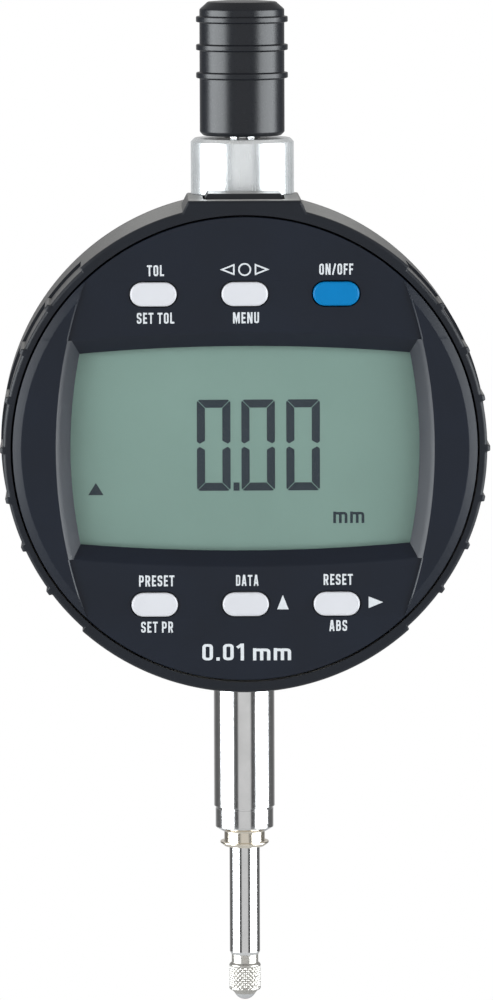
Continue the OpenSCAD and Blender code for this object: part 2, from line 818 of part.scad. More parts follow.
module lifting_cap() color(soft_black) {
    difference() {
        union() {
            turned([[0, cap_low], [cap_r - cap_bevel, cap_low], [cap_r, cap_low + cap_bevel],
                    [cap_r, cap_top - 1.2], [cap_r - 1.15, cap_top - 0.2], [0, cap_top]]);
            for (i = [0:2]) translate([0, 0, cap_top - cap_rib_drop - i * cap_rib_pitch])
                turned([[0, -0.45], [cap_r, -0.45], [cap_rib_r, -0.33], [cap_rib_r, 0.33],
                        [cap_r, 0.45], [0, 0.45]]);
        }
        disc(cap_bore_r, cap_low - 1, cap_low + cap_bore_h);
        disc(spindle_r + 0.1, cap_low, cap_low + cap_bore_h + 0.5);
    }
}

module cap_insert() color(brass) ring(insert_r, spindle_r + 0.01, cap_low + 1, cap_low + 8.9);

module scale_carrier() color(steel) dial() difference() {
    slab(carrier_x0, carrier_x1, carrier_y0, carrier_y1, carrier_rear_z, carrier_front_z);
    upright(0, 0, spindle_r + 0.01, carrier_y0 - 1, carrier_y1 + 1);
    upright(rod_x, 0, rod_r + 0.05, carrier_y0 - 1, carrier_y1 + 1);
    for (y = carrier_screw_ys) translate([0, y, 0]) disc(carrier_screw_r + hole_gap, -4, 0);
    translate([-5, spring_pin_y, spring_z]) rotate([0, 90, 0])
        cylinder(r = spring_pin_r + hole_gap / 2, h = 2.1);
}

module scale_strip() color(glass_grey) dial()
    slab(-strip_half_w, strip_half_w, carrier_y0 + 0.2, strip_top_y, carrier_front_z, strip_z);

module carrier_screws() color(steel) dial() for (y = carrier_screw_ys) translate([0, y, 0]) {
    disc(carrier_head_r, carrier_rear_z - 0.55, carrier_rear_z);
    disc(carrier_screw_r, carrier_rear_z - eps, -spindle_r - 0.06);
}

module bumper_ring() color(soft_black) dial() translate([0, carrier_y0 - bumper_h, 0])
    rotate([-90, 0, 0]) ring(bumper_r, spindle_r + 0.02, 0, bumper_h);

module spring_pin() color(steel) dial() translate([spring_pin_x, spring_pin_y, spring_z])
    rotate([0, 90, 0]) cylinder(r = spring_pin_r, h = spring_pin_len);

front_case();
rear_cover();
cover_gasket();
cover_screws();
collar_seat();
shank();
shank_nose();
lower_bush();
guide_bush();
collar();
upper_bush();
spindle_seal();
main_frame();
frame_screws();
guide_rod();
reader_board();
reader_chip();
reader_screws();
return_spring();
spring_post();
stop_pin();
flex_cable();
battery_holder();
holder_screws();
battery();
contact_plus();
contact_minus();
data_socket();
display_bezel();
window_lens();
lcd_panel();
lcd_reflector();
zebra_strips();
main_board();
board_components();
key_domes();
display_back();
display_screws();
friction_ring();
retaining_ring();
ring_screws();
key_tolerance();
key_menu();
key_power();
key_preset();
key_data();
key_reset();
spindle();
contact_body();
contact_ball();
lifting_cap();
cap_insert();
scale_carrier();
scale_strip();
carrier_screws();
bumper_ring();
spring_pin();
battery_door();
door_seal();
data_cover();
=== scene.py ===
"""Looks of a digital dial indicator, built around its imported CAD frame.

Sizes are millimetres and are turned into metres as points are placed. Dial pieces are drawn in a
dial frame: x to the right, y up and z out of the face, with its origin at the dial centre on the
spindle axis. Turned pieces on the spindle are drawn as (radius, height) profiles.
"""
import json
import math

import bmesh
import bpy
from mathutils import Matrix, Vector
from mathutils.geometry import delaunay_2d_cdt, tessellate_polygon


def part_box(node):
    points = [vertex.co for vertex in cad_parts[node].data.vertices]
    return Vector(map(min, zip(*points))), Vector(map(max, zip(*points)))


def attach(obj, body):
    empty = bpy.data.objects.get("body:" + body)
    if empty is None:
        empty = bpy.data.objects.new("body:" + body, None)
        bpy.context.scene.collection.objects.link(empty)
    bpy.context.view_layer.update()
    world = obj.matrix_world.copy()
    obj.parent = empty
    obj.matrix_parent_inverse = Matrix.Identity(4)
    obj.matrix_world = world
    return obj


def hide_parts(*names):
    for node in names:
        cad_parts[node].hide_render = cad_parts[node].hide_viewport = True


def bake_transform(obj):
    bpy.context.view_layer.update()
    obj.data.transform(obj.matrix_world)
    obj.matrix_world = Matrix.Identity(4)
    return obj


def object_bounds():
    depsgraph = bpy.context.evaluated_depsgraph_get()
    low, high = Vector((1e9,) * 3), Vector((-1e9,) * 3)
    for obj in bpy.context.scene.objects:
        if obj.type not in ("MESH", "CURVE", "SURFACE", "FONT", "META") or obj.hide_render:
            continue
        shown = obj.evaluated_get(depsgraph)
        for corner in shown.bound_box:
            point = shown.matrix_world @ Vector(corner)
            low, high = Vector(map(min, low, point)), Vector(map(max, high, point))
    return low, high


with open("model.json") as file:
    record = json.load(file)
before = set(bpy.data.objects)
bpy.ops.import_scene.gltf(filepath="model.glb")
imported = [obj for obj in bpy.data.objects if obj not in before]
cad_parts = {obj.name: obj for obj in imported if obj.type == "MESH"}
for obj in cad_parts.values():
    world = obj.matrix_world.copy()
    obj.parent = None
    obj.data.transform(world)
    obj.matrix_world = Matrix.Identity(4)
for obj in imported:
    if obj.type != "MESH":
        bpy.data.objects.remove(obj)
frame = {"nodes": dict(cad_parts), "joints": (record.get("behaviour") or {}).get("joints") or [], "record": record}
cad_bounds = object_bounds()

MM = 0.001
JOINTS = {joint["name"]: joint for joint in frame["joints"]}
DIAL_Z = JOINTS["display_turn"]["pos_m"][2] / MM


def cad(node):
    """Lowest and highest corner of a CAD node, in millimetres."""
    low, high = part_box(node)
    return low / MM, high / MM


# ---------------------------------------------------------------- mesh tools

def dial_point(x, y, z):
    return Vector((x, -z, y + DIAL_Z)) * MM


def stem_point(x, y, z):
    return Vector((x, y, z)) * MM


def add_object(name, data):
    item = bpy.data.objects.new(name, data)
    bpy.context.scene.collection.objects.link(item)
    return item


class Shape:
    """Rings of points, joined into one closed mesh."""

    def __init__(self, place=dial_point):
        self.place = place
        self.points = []
        self.faces = []
        self.flat = set()

    def ring3(self, points):
        start = len(self.points)
        self.points += [self.place(*point) for point in points]
        return list(range(start, len(self.points)))

    def ring(self, outline, z):
        return self.ring3([(x, y, z) for x, y in outline])

    def rings(self, *levels):
        """One ring for each (outline, height)."""
        return [self.ring(outline, z) for outline, z in levels]

    def skins(self, rings):
        """Joins each ring to the next one."""
        for a, b in zip(rings, rings[1:]):
            for i in range(len(a)):
                j = (i + 1) % len(a)
                self.faces.append((a[i], a[j], b[j], b[i]))
        return rings

    def cap(self, outer, *holes):
        """Fills a flat ring, leaving the rings in holes open."""
        start = len(self.faces)
        if holes:
            rings = [outer, *holes]
            order = [i for ring in rings for i in ring]
            corners = tessellate_polygon([[self.points[i] for i in ring] for ring in rings])
            self.faces += [tuple(order[i] for i in corner) for corner in corners]
        else:
            self.faces.append(tuple(outer))
        self.flat.update(range(start, len(self.faces)))

    def add_prism(self, outline, z0, z1):
        """A flat plate between two levels."""
        low, high = self.skins(self.rings((outline, z0), (outline, z1)))
        self.cap(low)
        self.cap(high)

    def build(self, name, body, slot=None, replaces=(), material=None, sharp=35):
        """Makes the piece, in its slot's material unless another one is given."""
        mesh = bpy.data.meshes.new(name)
        mesh.from_pydata(self.points, [], self.faces)
        smooth = [i not in self.flat for i in range(len(self.faces))]
        mesh.polygons.foreach_set("use_smooth", smooth)
        work = bmesh.new()
        work.from_mesh(mesh)
        bmesh.ops.remove_doubles(work, verts=work.verts, dist=1e-7)
        bmesh.ops.dissolve_degenerate(work, edges=work.edges, dist=1e-8)
        bmesh.ops.recalc_face_normals(work, faces=work.faces)
        work.to_mesh(mesh)
        work.free()
        mesh.set_sharp_from_angle(angle=math.radians(sharp))
        piece = add_object(name, mesh)
        mesh.materials.append(material or MATERIALS[slot])
        piece.modifiers.new("weights", "WEIGHTED_NORMAL").keep_sharp = True
        if body:
            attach(piece, body)
        if replaces:
            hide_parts(*replaces)
        return piece


def polar(r, degrees):
    return (r * math.cos(math.radians(degrees)), r * math.sin(math.radians(degrees)))


def arc(r, start, end, step=1.0, centre=(0, 0)):
    count = max(2, math.ceil(abs(end - start) / step))
    points = [polar(r, start + (end - start) * i / count) for i in range(count + 1)]
    return [(x + centre[0], y + centre[1]) for x, y in points]


def circle(r, count=96, centre=(0, 0)):
    turns = [polar(r, 360 * i / count) for i in range(count)]
    return [(centre[0] + x, centre[1] + y) for x, y in turns]


def rounded(path, steps=4, closed=True):
    """Rounds the corners of a path of (x, y) or (x, y, radius) points."""
    count = len(path)
    result = []
    for i, corner in enumerate(path):
        here = Vector(corner[:2])
        radius = corner[2] if len(corner) > 2 else 0
        if radius <= 0 or (not closed and i in (0, count - 1)):
            result.append(tuple(here))
            continue
        to_last = Vector(path[i - 1][:2]) - here
        to_next = Vector(path[(i + 1) % count][:2]) - here
        half = to_last.angle(to_next) / 2
        reach = min(radius / math.tan(half), 0.49 * to_last.length, 0.49 * to_next.length)
        start = here + to_last.normalized() * reach
        end = here + to_next.normalized() * reach
        for k in range(steps + 1):
            t = k / steps
            result.append(tuple(start * (1 - t) ** 2 + here * 2 * t * (1 - t) + end * t ** 2))
    return result


def inset(outline, depth):
    """Moves an anticlockwise outline inwards along its normals."""
    count = len(outline)
    result = []
    for i, (x, y) in enumerate(outline):
        tangent = Vector(outline[(i + 1) % count]) - Vector(outline[i - 1])
        tangent.normalize()
        result.append((x - tangent.y * depth, y + tangent.x * depth))
    return result


def obround(w, h, centre=(0, 0), count=12):
    reach = (w - h) / 2
    points = []
    for side, turn in ((1, -90), (-1, 90)):
        for i in range(count + 1):
            x, y = polar(h / 2, turn + 180 * i / count)
            points.append((centre[0] + side * reach + x, centre[1] + y))
    return points


def fillet_rings(shape, outline, z, radius, drop=1, steps=3):
    """Rings that round the edge of a face at z, out to the wall. drop=1 goes to lower z."""
    rings = []
    for k in range(steps + 1):
        turn = math.pi / 2 * k / steps
        level = z - drop * radius * (1 - math.cos(turn))
        rings.append(shape.ring(inset(outline, radius * (1 - math.sin(turn))), level))
    return rings


def add_hole(shape, outline, z, edge, floor):
    """Walls of a hole from a face at z to its floor. edge lists (extra width, height above z)."""
    soft = [(inset(outline, -wider), z + rise) for wider, rise in edge]
    return shape.skins(shape.rings(*soft, (outline, floor)))


def lathe(name, profile, body, slot, replaces, count=96, relief=None, **looks):
    """Turns a (radius, height) profile about the spindle axis.

    relief(angle, height) adds to the radius. A profile that comes back to its start has a bore.
    """
    shape = Shape(stem_point)
    rings = []
    for r, z in profile:
        points = []
        for i in range(count):
            angle = 2 * math.pi * i / count
            wide = r + (relief(angle, z) if relief else 0)
            points.append((wide * math.cos(angle), wide * math.sin(angle), z))
        rings.append(shape.ring3(points))
    shape.skins(rings)
    if profile[0] != profile[-1]:
        shape.cap(rings[0])
        shape.cap(rings[-1])
    shape.build(name, body, slot, replaces, **looks)


def tube(name, path, slot, node, **looks):
    """A turned part of the case, from the path round its section."""
    profile = rounded(path)
    lathe(name, profile + profile[:1], "case", slot, [node], **looks)


# ---------------------------------------------------------------- materials

class Nodes:
    """Short ways to add, fill and join the nodes of a material or of the world."""

    def __init__(self, owner, shader):
        owner.use_nodes = True
        self.owner = owner
        self.tree = owner.node_tree
        self.shader = self.tree.nodes[shader]

    def fill(self, node, inputs):
        """Sets each socket, or links it where the value is another node's socket."""
        for key, value in inputs.items():
            if isinstance(value, bpy.types.NodeSocket):
                self.tree.links.new(value, node.inputs[key])
            else:
                node.inputs[key].default_value = value

    def finished(self, inputs):
        self.fill(self.shader, inputs)
        return self.owner

    def add(self, kind, output, inputs=None, **settings):
        """Adds a node and returns one of its outputs."""
        node = self.tree.nodes.new("ShaderNode" + kind)
        for key, value in settings.items():
            setattr(node, key, value)
        self.fill(node, inputs or {})
        return node.outputs[output]

    def maths(self, operation, *values):
        return self.add("Math", "Value", dict(enumerate(values)), operation=operation)

    def mixed(self, factor, colour, other):
        return self.add("Mix", "Result", {"Factor": factor, "A": colour, "B": other},
                        data_type="RGBA")

    def ramp(self, factor, stops):
        """A colour ramp through (position, colour) stops."""
        node = self.tree.nodes.new("ShaderNodeValToRGB")
        elements = node.color_ramp.elements
        for position, _ in stops[1:-1]:
            elements.new(position)
        for element, (position, colour) in zip(elements, stops):
            element.position = position
            element.color = colour
        self.fill(node, {"Fac": factor})
        return node.outputs["Color"]

    def tones(self, factor, low, high):
        return self.ramp(factor, ((0.3, low), (0.7, high)))

    def span(self, factor, low, high, start=0.3, end=0.7):
        return self.add("MapRange", "Result", {"Value": factor, "From Min": start, "From Max": end,
                                               "To Min": low, "To Max": high})

    def object_mm(self, stretch=(1, 1, 1)):
        """Object coordinates in millimetres, stretched along an axis for a directed grain."""
        scale = tuple(1 / MM * s for s in stretch)
        coords = self.add("TexCoord", "Object")
        return self.add("Mapping", "Vector", {"Vector": coords, "Scale": scale})

    def noise(self, vector, scale, detail=3.0, roughness=0.5):
        return self.add("TexNoise", "Fac", {"Vector": vector, "Scale": scale, "Detail": detail,
                                            "Roughness": roughness})

    def bump(self, height, depth_mm, strength=1.0):
        return self.add("Bump", "Normal", {"Height": height, "Distance": depth_mm * MM,
                                           "Strength": strength})


SHEEN_TINT = (1.0, 0.96, 0.9, 1.0)


def new_material(name):
    return Nodes(bpy.data.materials.new(name), "Principled BSDF")


def shade(colour, factor):
    return tuple(min(1.0, c * factor) for c in colour) + (1.0,)


def plastic(name, colour, roughness, grain=4.0, depth=0.006, tone=0.12, specular=0.5, sheen=0.0):
    """Moulded plastic: a spark-eroded grain, and slight changes of tone and gloss over its length.

    Sheen is the pale, slightly warm bloom that a coarse grain shows at a glancing angle.
    """
    new = new_material(name)
    coords = new.object_mm()
    cloud = new.noise(coords, 0.12, 4)
    fine = new.noise(coords, grain, 3, 0.6)
    return new.finished({
        "Base Color": new.tones(cloud, shade(colour, 1 - tone), shade(colour, 1 + tone)),
        "Roughness": new.span(fine, roughness - 0.05, roughness + 0.05),
        "Specular IOR Level": specular, "Sheen Weight": sheen, "Sheen Roughness": 0.4,
        "Sheen Tint": SHEEN_TINT, "Normal": new.bump(fine, depth)})


def metal(name, colour, roughness, stretch=(0.35, 0.35, 9), depth=0.0006, spread=0.08,
          metallic=1.0):
    """Machined metal: fine tool lines across the stretched axis, and a faint change of tone.

    A metallic value below one stands for a matt plated skin, which scatters part of the light.
    """
    new = new_material(name)
    lines = new.noise(new.object_mm(stretch), 2.2, 4, 0.65)
    cloud = new.noise(new.object_mm(), 0.3, 3)
    return new.finished({
        "Metallic": metallic,
        "Base Color": new.tones(cloud, shade(colour, 0.94), shade(colour, 1.06)),
        "Roughness": new.span(lines, roughness - spread / 2, roughness + spread / 2),
        "Normal": new.bump(lines, depth)})


def ink(name, colour, roughness):
    """Printed ink with a slightly uneven coat."""
    new = new_material(name)
    patchy = new.noise(new.object_mm(), 3.0, 3)
    return new.finished({
        "Base Color": new.tones(patchy, shade(colour, 0.93), shade(colour, 1.03)),
        "Roughness": roughness, "Normal": new.bump(patchy, 0.002)})


def screen_glass(name):
    """Clear window: nearly all see-through, with a sharp reflection."""
    new = new_material(name)
    smear = new.noise(new.object_mm(), 0.15, 4)
    return new.finished({
        "Base Color": new.tones(smear, (0.05, 0.06, 0.055, 1), (0.08, 0.09, 0.085, 1)),
        "Roughness": new.span(smear, 0.02, 0.05), "Alpha": 0.08, "Specular IOR Level": 0.25})


def liquid_crystal(name):
    """Grey-green reflective panel with the fine texture of its rear film."""
    new = new_material(name)
    coords = new.object_mm()
    film = new.noise(coords, 7.0, 2)
    cloud = new.noise(coords, 0.04, 2)
    return new.finished({
        "Base Color": new.tones(cloud, (0.202, 0.308, 0.266, 1), (0.224, 0.34, 0.294, 1)),
        "Roughness": new.span(film, 0.38, 0.5), "Specular IOR Level": 0.3,
        "Normal": new.bump(film, 0.002)})


def circuit_board(name):
    """Solder resist over copper tracks."""
    new = new_material(name)
    tracks = {"Vector": new.object_mm(), "Scale": 0.8, "Mortar Size": 0.03,
              "Color1": (0.02, 0.14, 0.06, 1), "Color2": (0.025, 0.17, 0.075, 1),
              "Mortar": (0.05, 0.27, 0.13, 1)}
    colour = new.add("TexBrick", "Color", tracks)
    return new.finished({"Base Color": colour, "Roughness": 0.35,
                         "Normal": new.bump(colour.node.outputs["Fac"], 0.02, 0.5)})


def felt(name, colour):
    new = new_material(name)
    fibres = new.noise(new.object_mm(), 6.0, 5, 0.7)
    return new.finished({
        "Base Color": new.tones(fibres, shade(colour, 0.6), shade(colour, 1.3)),
        "Roughness": 0.95, "Normal": new.bump(fibres, 0.05)})


FACE_BLACK = (0.0030, 0.0058, 0.0128)
CASE_BLACK = (0.0050, 0.0068, 0.0110)
DEEP_BLACK = (0.0045, 0.0056, 0.0085)

MATERIALS = {name: make(name, *values, **more) for name, make, values, more in (
    # the slot's name, how it is made, colour and roughness, the rest
    ("case_plastic", plastic, (CASE_BLACK, 0.42),
     {"grain": 3.2, "depth": 0.008, "specular": 0.29, "sheen": 0.19}),
    ("cover_plastic", plastic, (DEEP_BLACK, 0.45), {"grain": 3.2, "depth": 0.008, "sheen": 0.1}),
    ("bezel_plastic", plastic, (FACE_BLACK, 0.34),
     {"grain": 5.0, "depth": 0.003, "specular": 0.37}),
    ("cap_plastic", plastic, (DEEP_BLACK, 0.31), {"grain": 5.0, "depth": 0.002, "specular": 0.47}),
    ("rubber", plastic, ((0.018, 0.018, 0.019), 0.7), {"grain": 5.0}),
    ("zebra_rubber", plastic, ((0.42, 0.22, 0.22), 0.6), {"grain": 8.0}),
    ("chip_plastic", plastic, ((0.02, 0.02, 0.022), 0.55), {"grain": 8.0}),
    ("ribbon", plastic, ((0.5, 0.26, 0.06), 0.3), {"grain": 2.0, "depth": 0.001}),
    ("key_white", plastic, ((0.56, 0.56, 0.585), 0.38), {"depth": 0.002, "tone": 0.02}),
    ("key_blue", plastic, ((0.0004, 0.155, 0.385), 0.36),
     {"depth": 0.002, "tone": 0.05, "specular": 0.15}),
    ("reflector", plastic, ((0.62, 0.66, 0.62), 0.3), {"grain": 6.0, "depth": 0.002}),
    ("scale_glass", plastic, ((0.45, 0.5, 0.47), 0.15), {"grain": 8.0, "depth": 0.001}),
    ("bright_steel", metal, ((0.86, 0.86, 0.86), 0.13), {}),
    ("ball_steel", metal, ((0.84, 0.84, 0.85), 0.08), {"depth": 0.0002, "spread": 0.04}),
    ("screw_steel", metal, ((0.6, 0.6, 0.61), 0.25), {"stretch": (3, 3, 3)}),
    ("knurl_steel", metal, ((0.58, 0.56, 0.52), 0.3), {"stretch": (2, 2, 2), "metallic": 0.9}),
    ("battery_steel", metal, ((0.78, 0.78, 0.77), 0.22), {"stretch": (5, 0.4, 5)}),
    ("bush_brass", metal, ((0.95, 0.87, 0.74), 0.2), {}),
    ("contact_bronze", metal, ((0.8, 0.55, 0.28), 0.3), {"stretch": (4, 4, 4)}),
    ("frame_aluminium", metal, ((0.74, 0.74, 0.76), 0.38),
     {"stretch": (4, 4, 0.5), "depth": 0.002}),
    ("window_glass", screen_glass, (), {}),
    ("lcd_glass", liquid_crystal, (), {}),
    ("circuit_board", circuit_board, (), {}),
    ("felt", felt, ((0.14, 0.10, 0.07),), {}),
    ("satin_steel", metal, ((0.9, 0.92, 0.93), 0.25),
     {"stretch": (1.6, 1.6, 0.08), "metallic": 0.76}),
    ("label_ink", ink, ((0.58, 0.6, 0.62), 0.5), {}),
    ("segment_ink", ink, ((0.009, 0.018, 0.03), 0.6), {}),
)}


def dress_cad_nodes():
    """Gives every CAD node the material of its slot in the record."""
    for row in frame["record"]["subparts"]:
        mesh = frame["nodes"][row["node"]].data
        mesh.materials.clear()
        mesh.materials.append(MATERIALS[row["material_slot"]])


# ---------------------------------------------------------------- case

CASE_LOW, CASE_HIGH = cad("front_case")
CASE_R = (CASE_HIGH.x - CASE_LOW.x) / 2
RIM_Z = -CASE_LOW.y
JOINT_Z = -CASE_HIGH.y
BOSS_TOP = CASE_HIGH.z - DIAL_Z
RIB_H = 0.4
POCKET_R = CASE_R - RIB_H
POCKET_Z = 4.0
WELL_R = 30.34
FLANGE = (6.3, 7.5, 27.5)
CAVITY_R = 29.5
BOSS_HALF_W = 7.25
BOSS_FOOT = (8.45, 29.8)
BOSS_REAR_Z = -2.0
BOSS_REACH = 8.1
NOTCH_HALF_W = 5.3
NOTCH_DEPTH = 0.8
NOTCH_Z = (4.4, 12.2)
PORT_HALF_W = 5.3
PORT_Z = (-4.5, 1.5)
PORT_X = 30.6
SMOOTH_HALF = 42
RIB_PITCH = 12
CORNER = 0.16
UNDERCUT = 0.18
CASE_CHAMFER = 0.12
RIM_DOME = ((0.46, 0), (0.33, 0.03), (0.22, 0.085), (0.13, 0.16), (0.06, 0.25), (0.02, 0.35),
            (0, 0.47))


def boss_side_x(y):
    """Half width of the boss at a height, along its sloping side."""
    slope = (BOSS_FOOT[0] - BOSS_HALF_W) / (BOSS_TOP - BOSS_FOOT[1])
    return BOSS_HALF_W + (BOSS_TOP - y) * slope


def boss_foot_angle():
    """Angle at which the boss leaves the round case, from the right-hand horizontal."""
    y = BOSS_TOP
    for _ in range(40):
        y = math.sqrt(CASE_R ** 2 - boss_side_x(y) ** 2)
    return math.degrees(math.atan2(y, boss_side_x(y)))


def pocket_arc(start, end):
    """Floor of a pocket between two corners, with a step at each end of the data port's recess."""
    count = math.ceil((end - start) / 1.5)
    turns = [start + (end - start) * i / count for i in range(1, count)]
    port = math.degrees(math.asin(PORT_HALF_W / POCKET_R))
    turns += [stop + nudge for stop in (-port, port) for nudge in (-0.01, 0.01)
              if start < stop < end]
    return [polar(POCKET_R, turn) for turn in sorted(turns)]


def flank(side):
    """Ribs and pockets of one flank, anticlockwise, about the direction side in degrees."""
    foot = math.degrees(math.asin(0.48 / POCKET_R))
    tip = math.degrees(math.asin(0.35 / CASE_R))
    half = 90 - SMOOTH_HALF
    at = side - half
    points = [(*polar(POCKET_R, at), CORNER)]
    for i in range(-3, 4):
        centre = side + i * RIB_PITCH
        points += pocket_arc(at, centre - foot)
        rib = (POCKET_R, -foot), (CASE_R - 0.02, -tip), (CASE_R - 0.02, tip), (POCKET_R, foot)
        points += [(*polar(r, centre + turn), CORNER) for r, turn in rib]
        at = centre + foot
    points += pocket_arc(at, side + half)
    points.append((*polar(POCKET_R, side + half), CORNER))
    return points


def smooth_arc(start, end):
    points = arc(CASE_R, start, end, 1.5)
    points[0] = (*points[0], CORNER)
    points[-1] = (*points[-1], CORNER)
    return points


def case_outline():
    """Outline of the case behind the rim, anticlockwise from the lower right."""
    foot = boss_foot_angle()
    top = SMOOTH_HALF + 90
    right = arc(CASE_R, 90 - SMOOTH_HALF, foot, 1.5)
    left = arc(CASE_R, 180 - foot, top, 1.5)
    right[0] = (*right[0], CORNER)
    left[-1] = (*left[-1], CORNER)
    across = [NOTCH_HALF_W * i / 8 for i in range(-7, 8)] + [6, -6]
    across += [side * NOTCH_HALF_W + nudge for side in (1, -1) for nudge in (0.002, -0.002)]
    boss = [(x, BOSS_TOP) for x in sorted(across, reverse=True)]
    boss = [(BOSS_HALF_W, BOSS_TOP, 0.3), *boss, (-BOSS_HALF_W, BOSS_TOP, 0.3)]
    bottom = smooth_arc(270 - SMOOTH_HALF, 270 + SMOOTH_HALF)
    return rounded(flank(0) + right + boss + left + flank(180) + bottom)


def around(outline, r):
    """A circle with one point for each point of the outline, at the same angle."""
    return [(x * (r / math.hypot(x, y)), y * (r / math.hypot(x, y))) for x, y in outline]


def drawn_in(outline, depth):
    """The outline with every point moved towards the centre by depth."""
    shrunk = [(x, y, 1 - depth / math.hypot(x, y)) for x, y in outline]
    return [(x * shrink, y * shrink) for x, y, shrink in shrunk]


def on_boss(x, y):
    return y > 0 and abs(x) < BOSS_REACH and math.hypot(x, y) > CASE_R - 0.01


def ported(outline):
    """The outline with the flat floor of the data port's recess."""
    return [(PORT_X, y) if x > PORT_X and abs(y) < PORT_HALF_W else (x, y) for x, y in outline]


def build_case():
    """The shell has no holes: shank, spindle, collar and data cover pass through its wall."""
    full = case_outline()
    notched = [(x, BOSS_TOP - NOTCH_DEPTH) if abs(x) < NOTCH_HALF_W and y > BOSS_TOP - 0.01
               else (x, y) for x, y in full]
    plain = around(full, CASE_R)
    rear = [p if on_boss(*p) else q for p, q in zip(full, plain)]
    cavity = around(full, CAVITY_R)
    lip = around(full, FLANGE[2])
    wide_well = around(full, WELL_R + UNDERCUT)
    shape = Shape()
    rings = shape.rings(
        (cavity, JOINT_Z), (cavity, FLANGE[0]), (lip, FLANGE[0]), (lip, FLANGE[1]),
        (wide_well, FLANGE[1]), (wide_well, RIM_Z - UNDERCUT), (around(full, WELL_R), RIM_Z),
        *((drawn_in(full, depth), RIM_Z - drop) for depth, drop in RIM_DOME),
        (full, NOTCH_Z[1]), (notched, NOTCH_Z[1]), (notched, NOTCH_Z[0]), (full, NOTCH_Z[0]),
        (full, POCKET_Z), (rear, POCKET_Z - 0.05),
        # The boss ends part of the way down the recess of the data port
        (rear, PORT_Z[1]), (ported(rear), PORT_Z[1]), (ported(rear), BOSS_REAR_Z + 0.15),
        (ported(plain), BOSS_REAR_Z), (ported(plain), PORT_Z[0]), (plain, PORT_Z[0]),
        (plain, JOINT_Z + CASE_CHAMFER), (around(full, CASE_R - CASE_CHAMFER), JOINT_Z))
    shape.skins(rings + rings[:1])
    shape.build("case_shell", "case", "case_plastic", ["front_case"])


MARGIN = 0.25
MARK_R = 0.5
MARK_AT = (9.2, 12.4)
MARK_DEPTH = 0.3
DOOR_TURN = JOINTS["battery_door_turn"]
DOOR_X = DOOR_TURN["pos_m"][0] / MM
DOOR_MARKS = (90, 90 - DOOR_TURN["axis"][1] * DOOR_TURN["range_deg"][1])
DOOR_R = 10.7
DOOR_HOLE_R = 10.8
DOOR_EDGE = 0.25
SEAL_GROOVE_R = 10.15
SEAL_GROOVE_Z = (-9.1, -8.5)
DOOR_WELL_R = 8.5
DOOR_WELL_Z = -8.4
LUG_R = (10.5, 11.7)
LUG_Z = (-7.92, -7.4)
LUG_HALF = 14
COIN_SLOT = (12.0, 1.7)
PIT_EDGE = ((0.1 + MARGIN, 0), (0.1, 0), (0, 0.1))
BACK_EDGE = ((0.12 + MARGIN, 0), (0.12, 0), (0.04, 0.04), (0, 0.14))
BACK_ROUND = 0.7
SCREW_AT = 19.4
SCREW_SPOTS = [(sx * SCREW_AT, sy * SCREW_AT) for sx in (-1, 1) for sy in (-1, 1)]


def door_circle(r, count=96):
    return circle(r, count, (DOOR_X, 0))


def build_rear_cover():
    """Flat back with the round battery opening, four screw recesses and the door's two marks."""
    back = -cad("rear_cover")[1].y
    shape = Shape()
    edge = [(circle(CASE_R, 240), JOINT_Z)]
    for k in range(6):
        turn = math.pi / 2 * k / 5
        edge.append((circle(CASE_R - BACK_ROUND * (1 - math.cos(turn)), 240),
                     back + BACK_ROUND - BACK_ROUND * math.sin(turn)))
    edge.append((circle(CASE_R - BACK_ROUND - MARGIN, 240), back))
    edge = shape.skins(shape.rings(*edge))
    sunk = [(door_circle(DOOR_HOLE_R), JOINT_Z)]
    sunk += [(circle(1.95, 32, spot), back + 1) for spot in SCREW_SPOTS]
    for turn in DOOR_MARKS:
        x, y = polar(MARK_AT[1], turn)
        sunk.append((circle(MARK_R, 24, (DOOR_X + x, y)), back + MARK_DEPTH))
    holes = [add_hole(shape, outline, back, BACK_EDGE, floor) for outline, floor in sunk]
    shape.cap(edge[-1], *[walls[0] for walls in holes])
    shape.cap(edge[0], holes[0][-1])
    for walls in holes[1:]:
        shape.cap(walls[-1])
    shape.build("back_plate", "case", "cover_plastic", ["rear_cover"])


def build_screws():
    """Four countersunk screws with a six-sided socket."""
    back = -cad("cover_screws")[1].y
    under, tip = back + 0.9, -2.5
    shape = Shape()
    for spot in SCREW_SPOTS:
        head, shaft = circle(1.85, 48, spot), circle(1.0, 48, spot)
        face = fillet_rings(shape, head, back, 0.18, drop=-1)
        body = shape.rings((head, under), (shaft, under), (shaft, tip))
        shape.skins(face + body)
        shape.cap(body[-1])
        socket = circle(0.75, 6, spot)
        hole = shape.skins(shape.rings((socket, back), (socket, back + 0.6)))
        shape.cap(hole[-1])
        shape.cap(face[0], hole[0])
    shape.build("back_screws", "case", "screw_steel", ["cover_screws"])


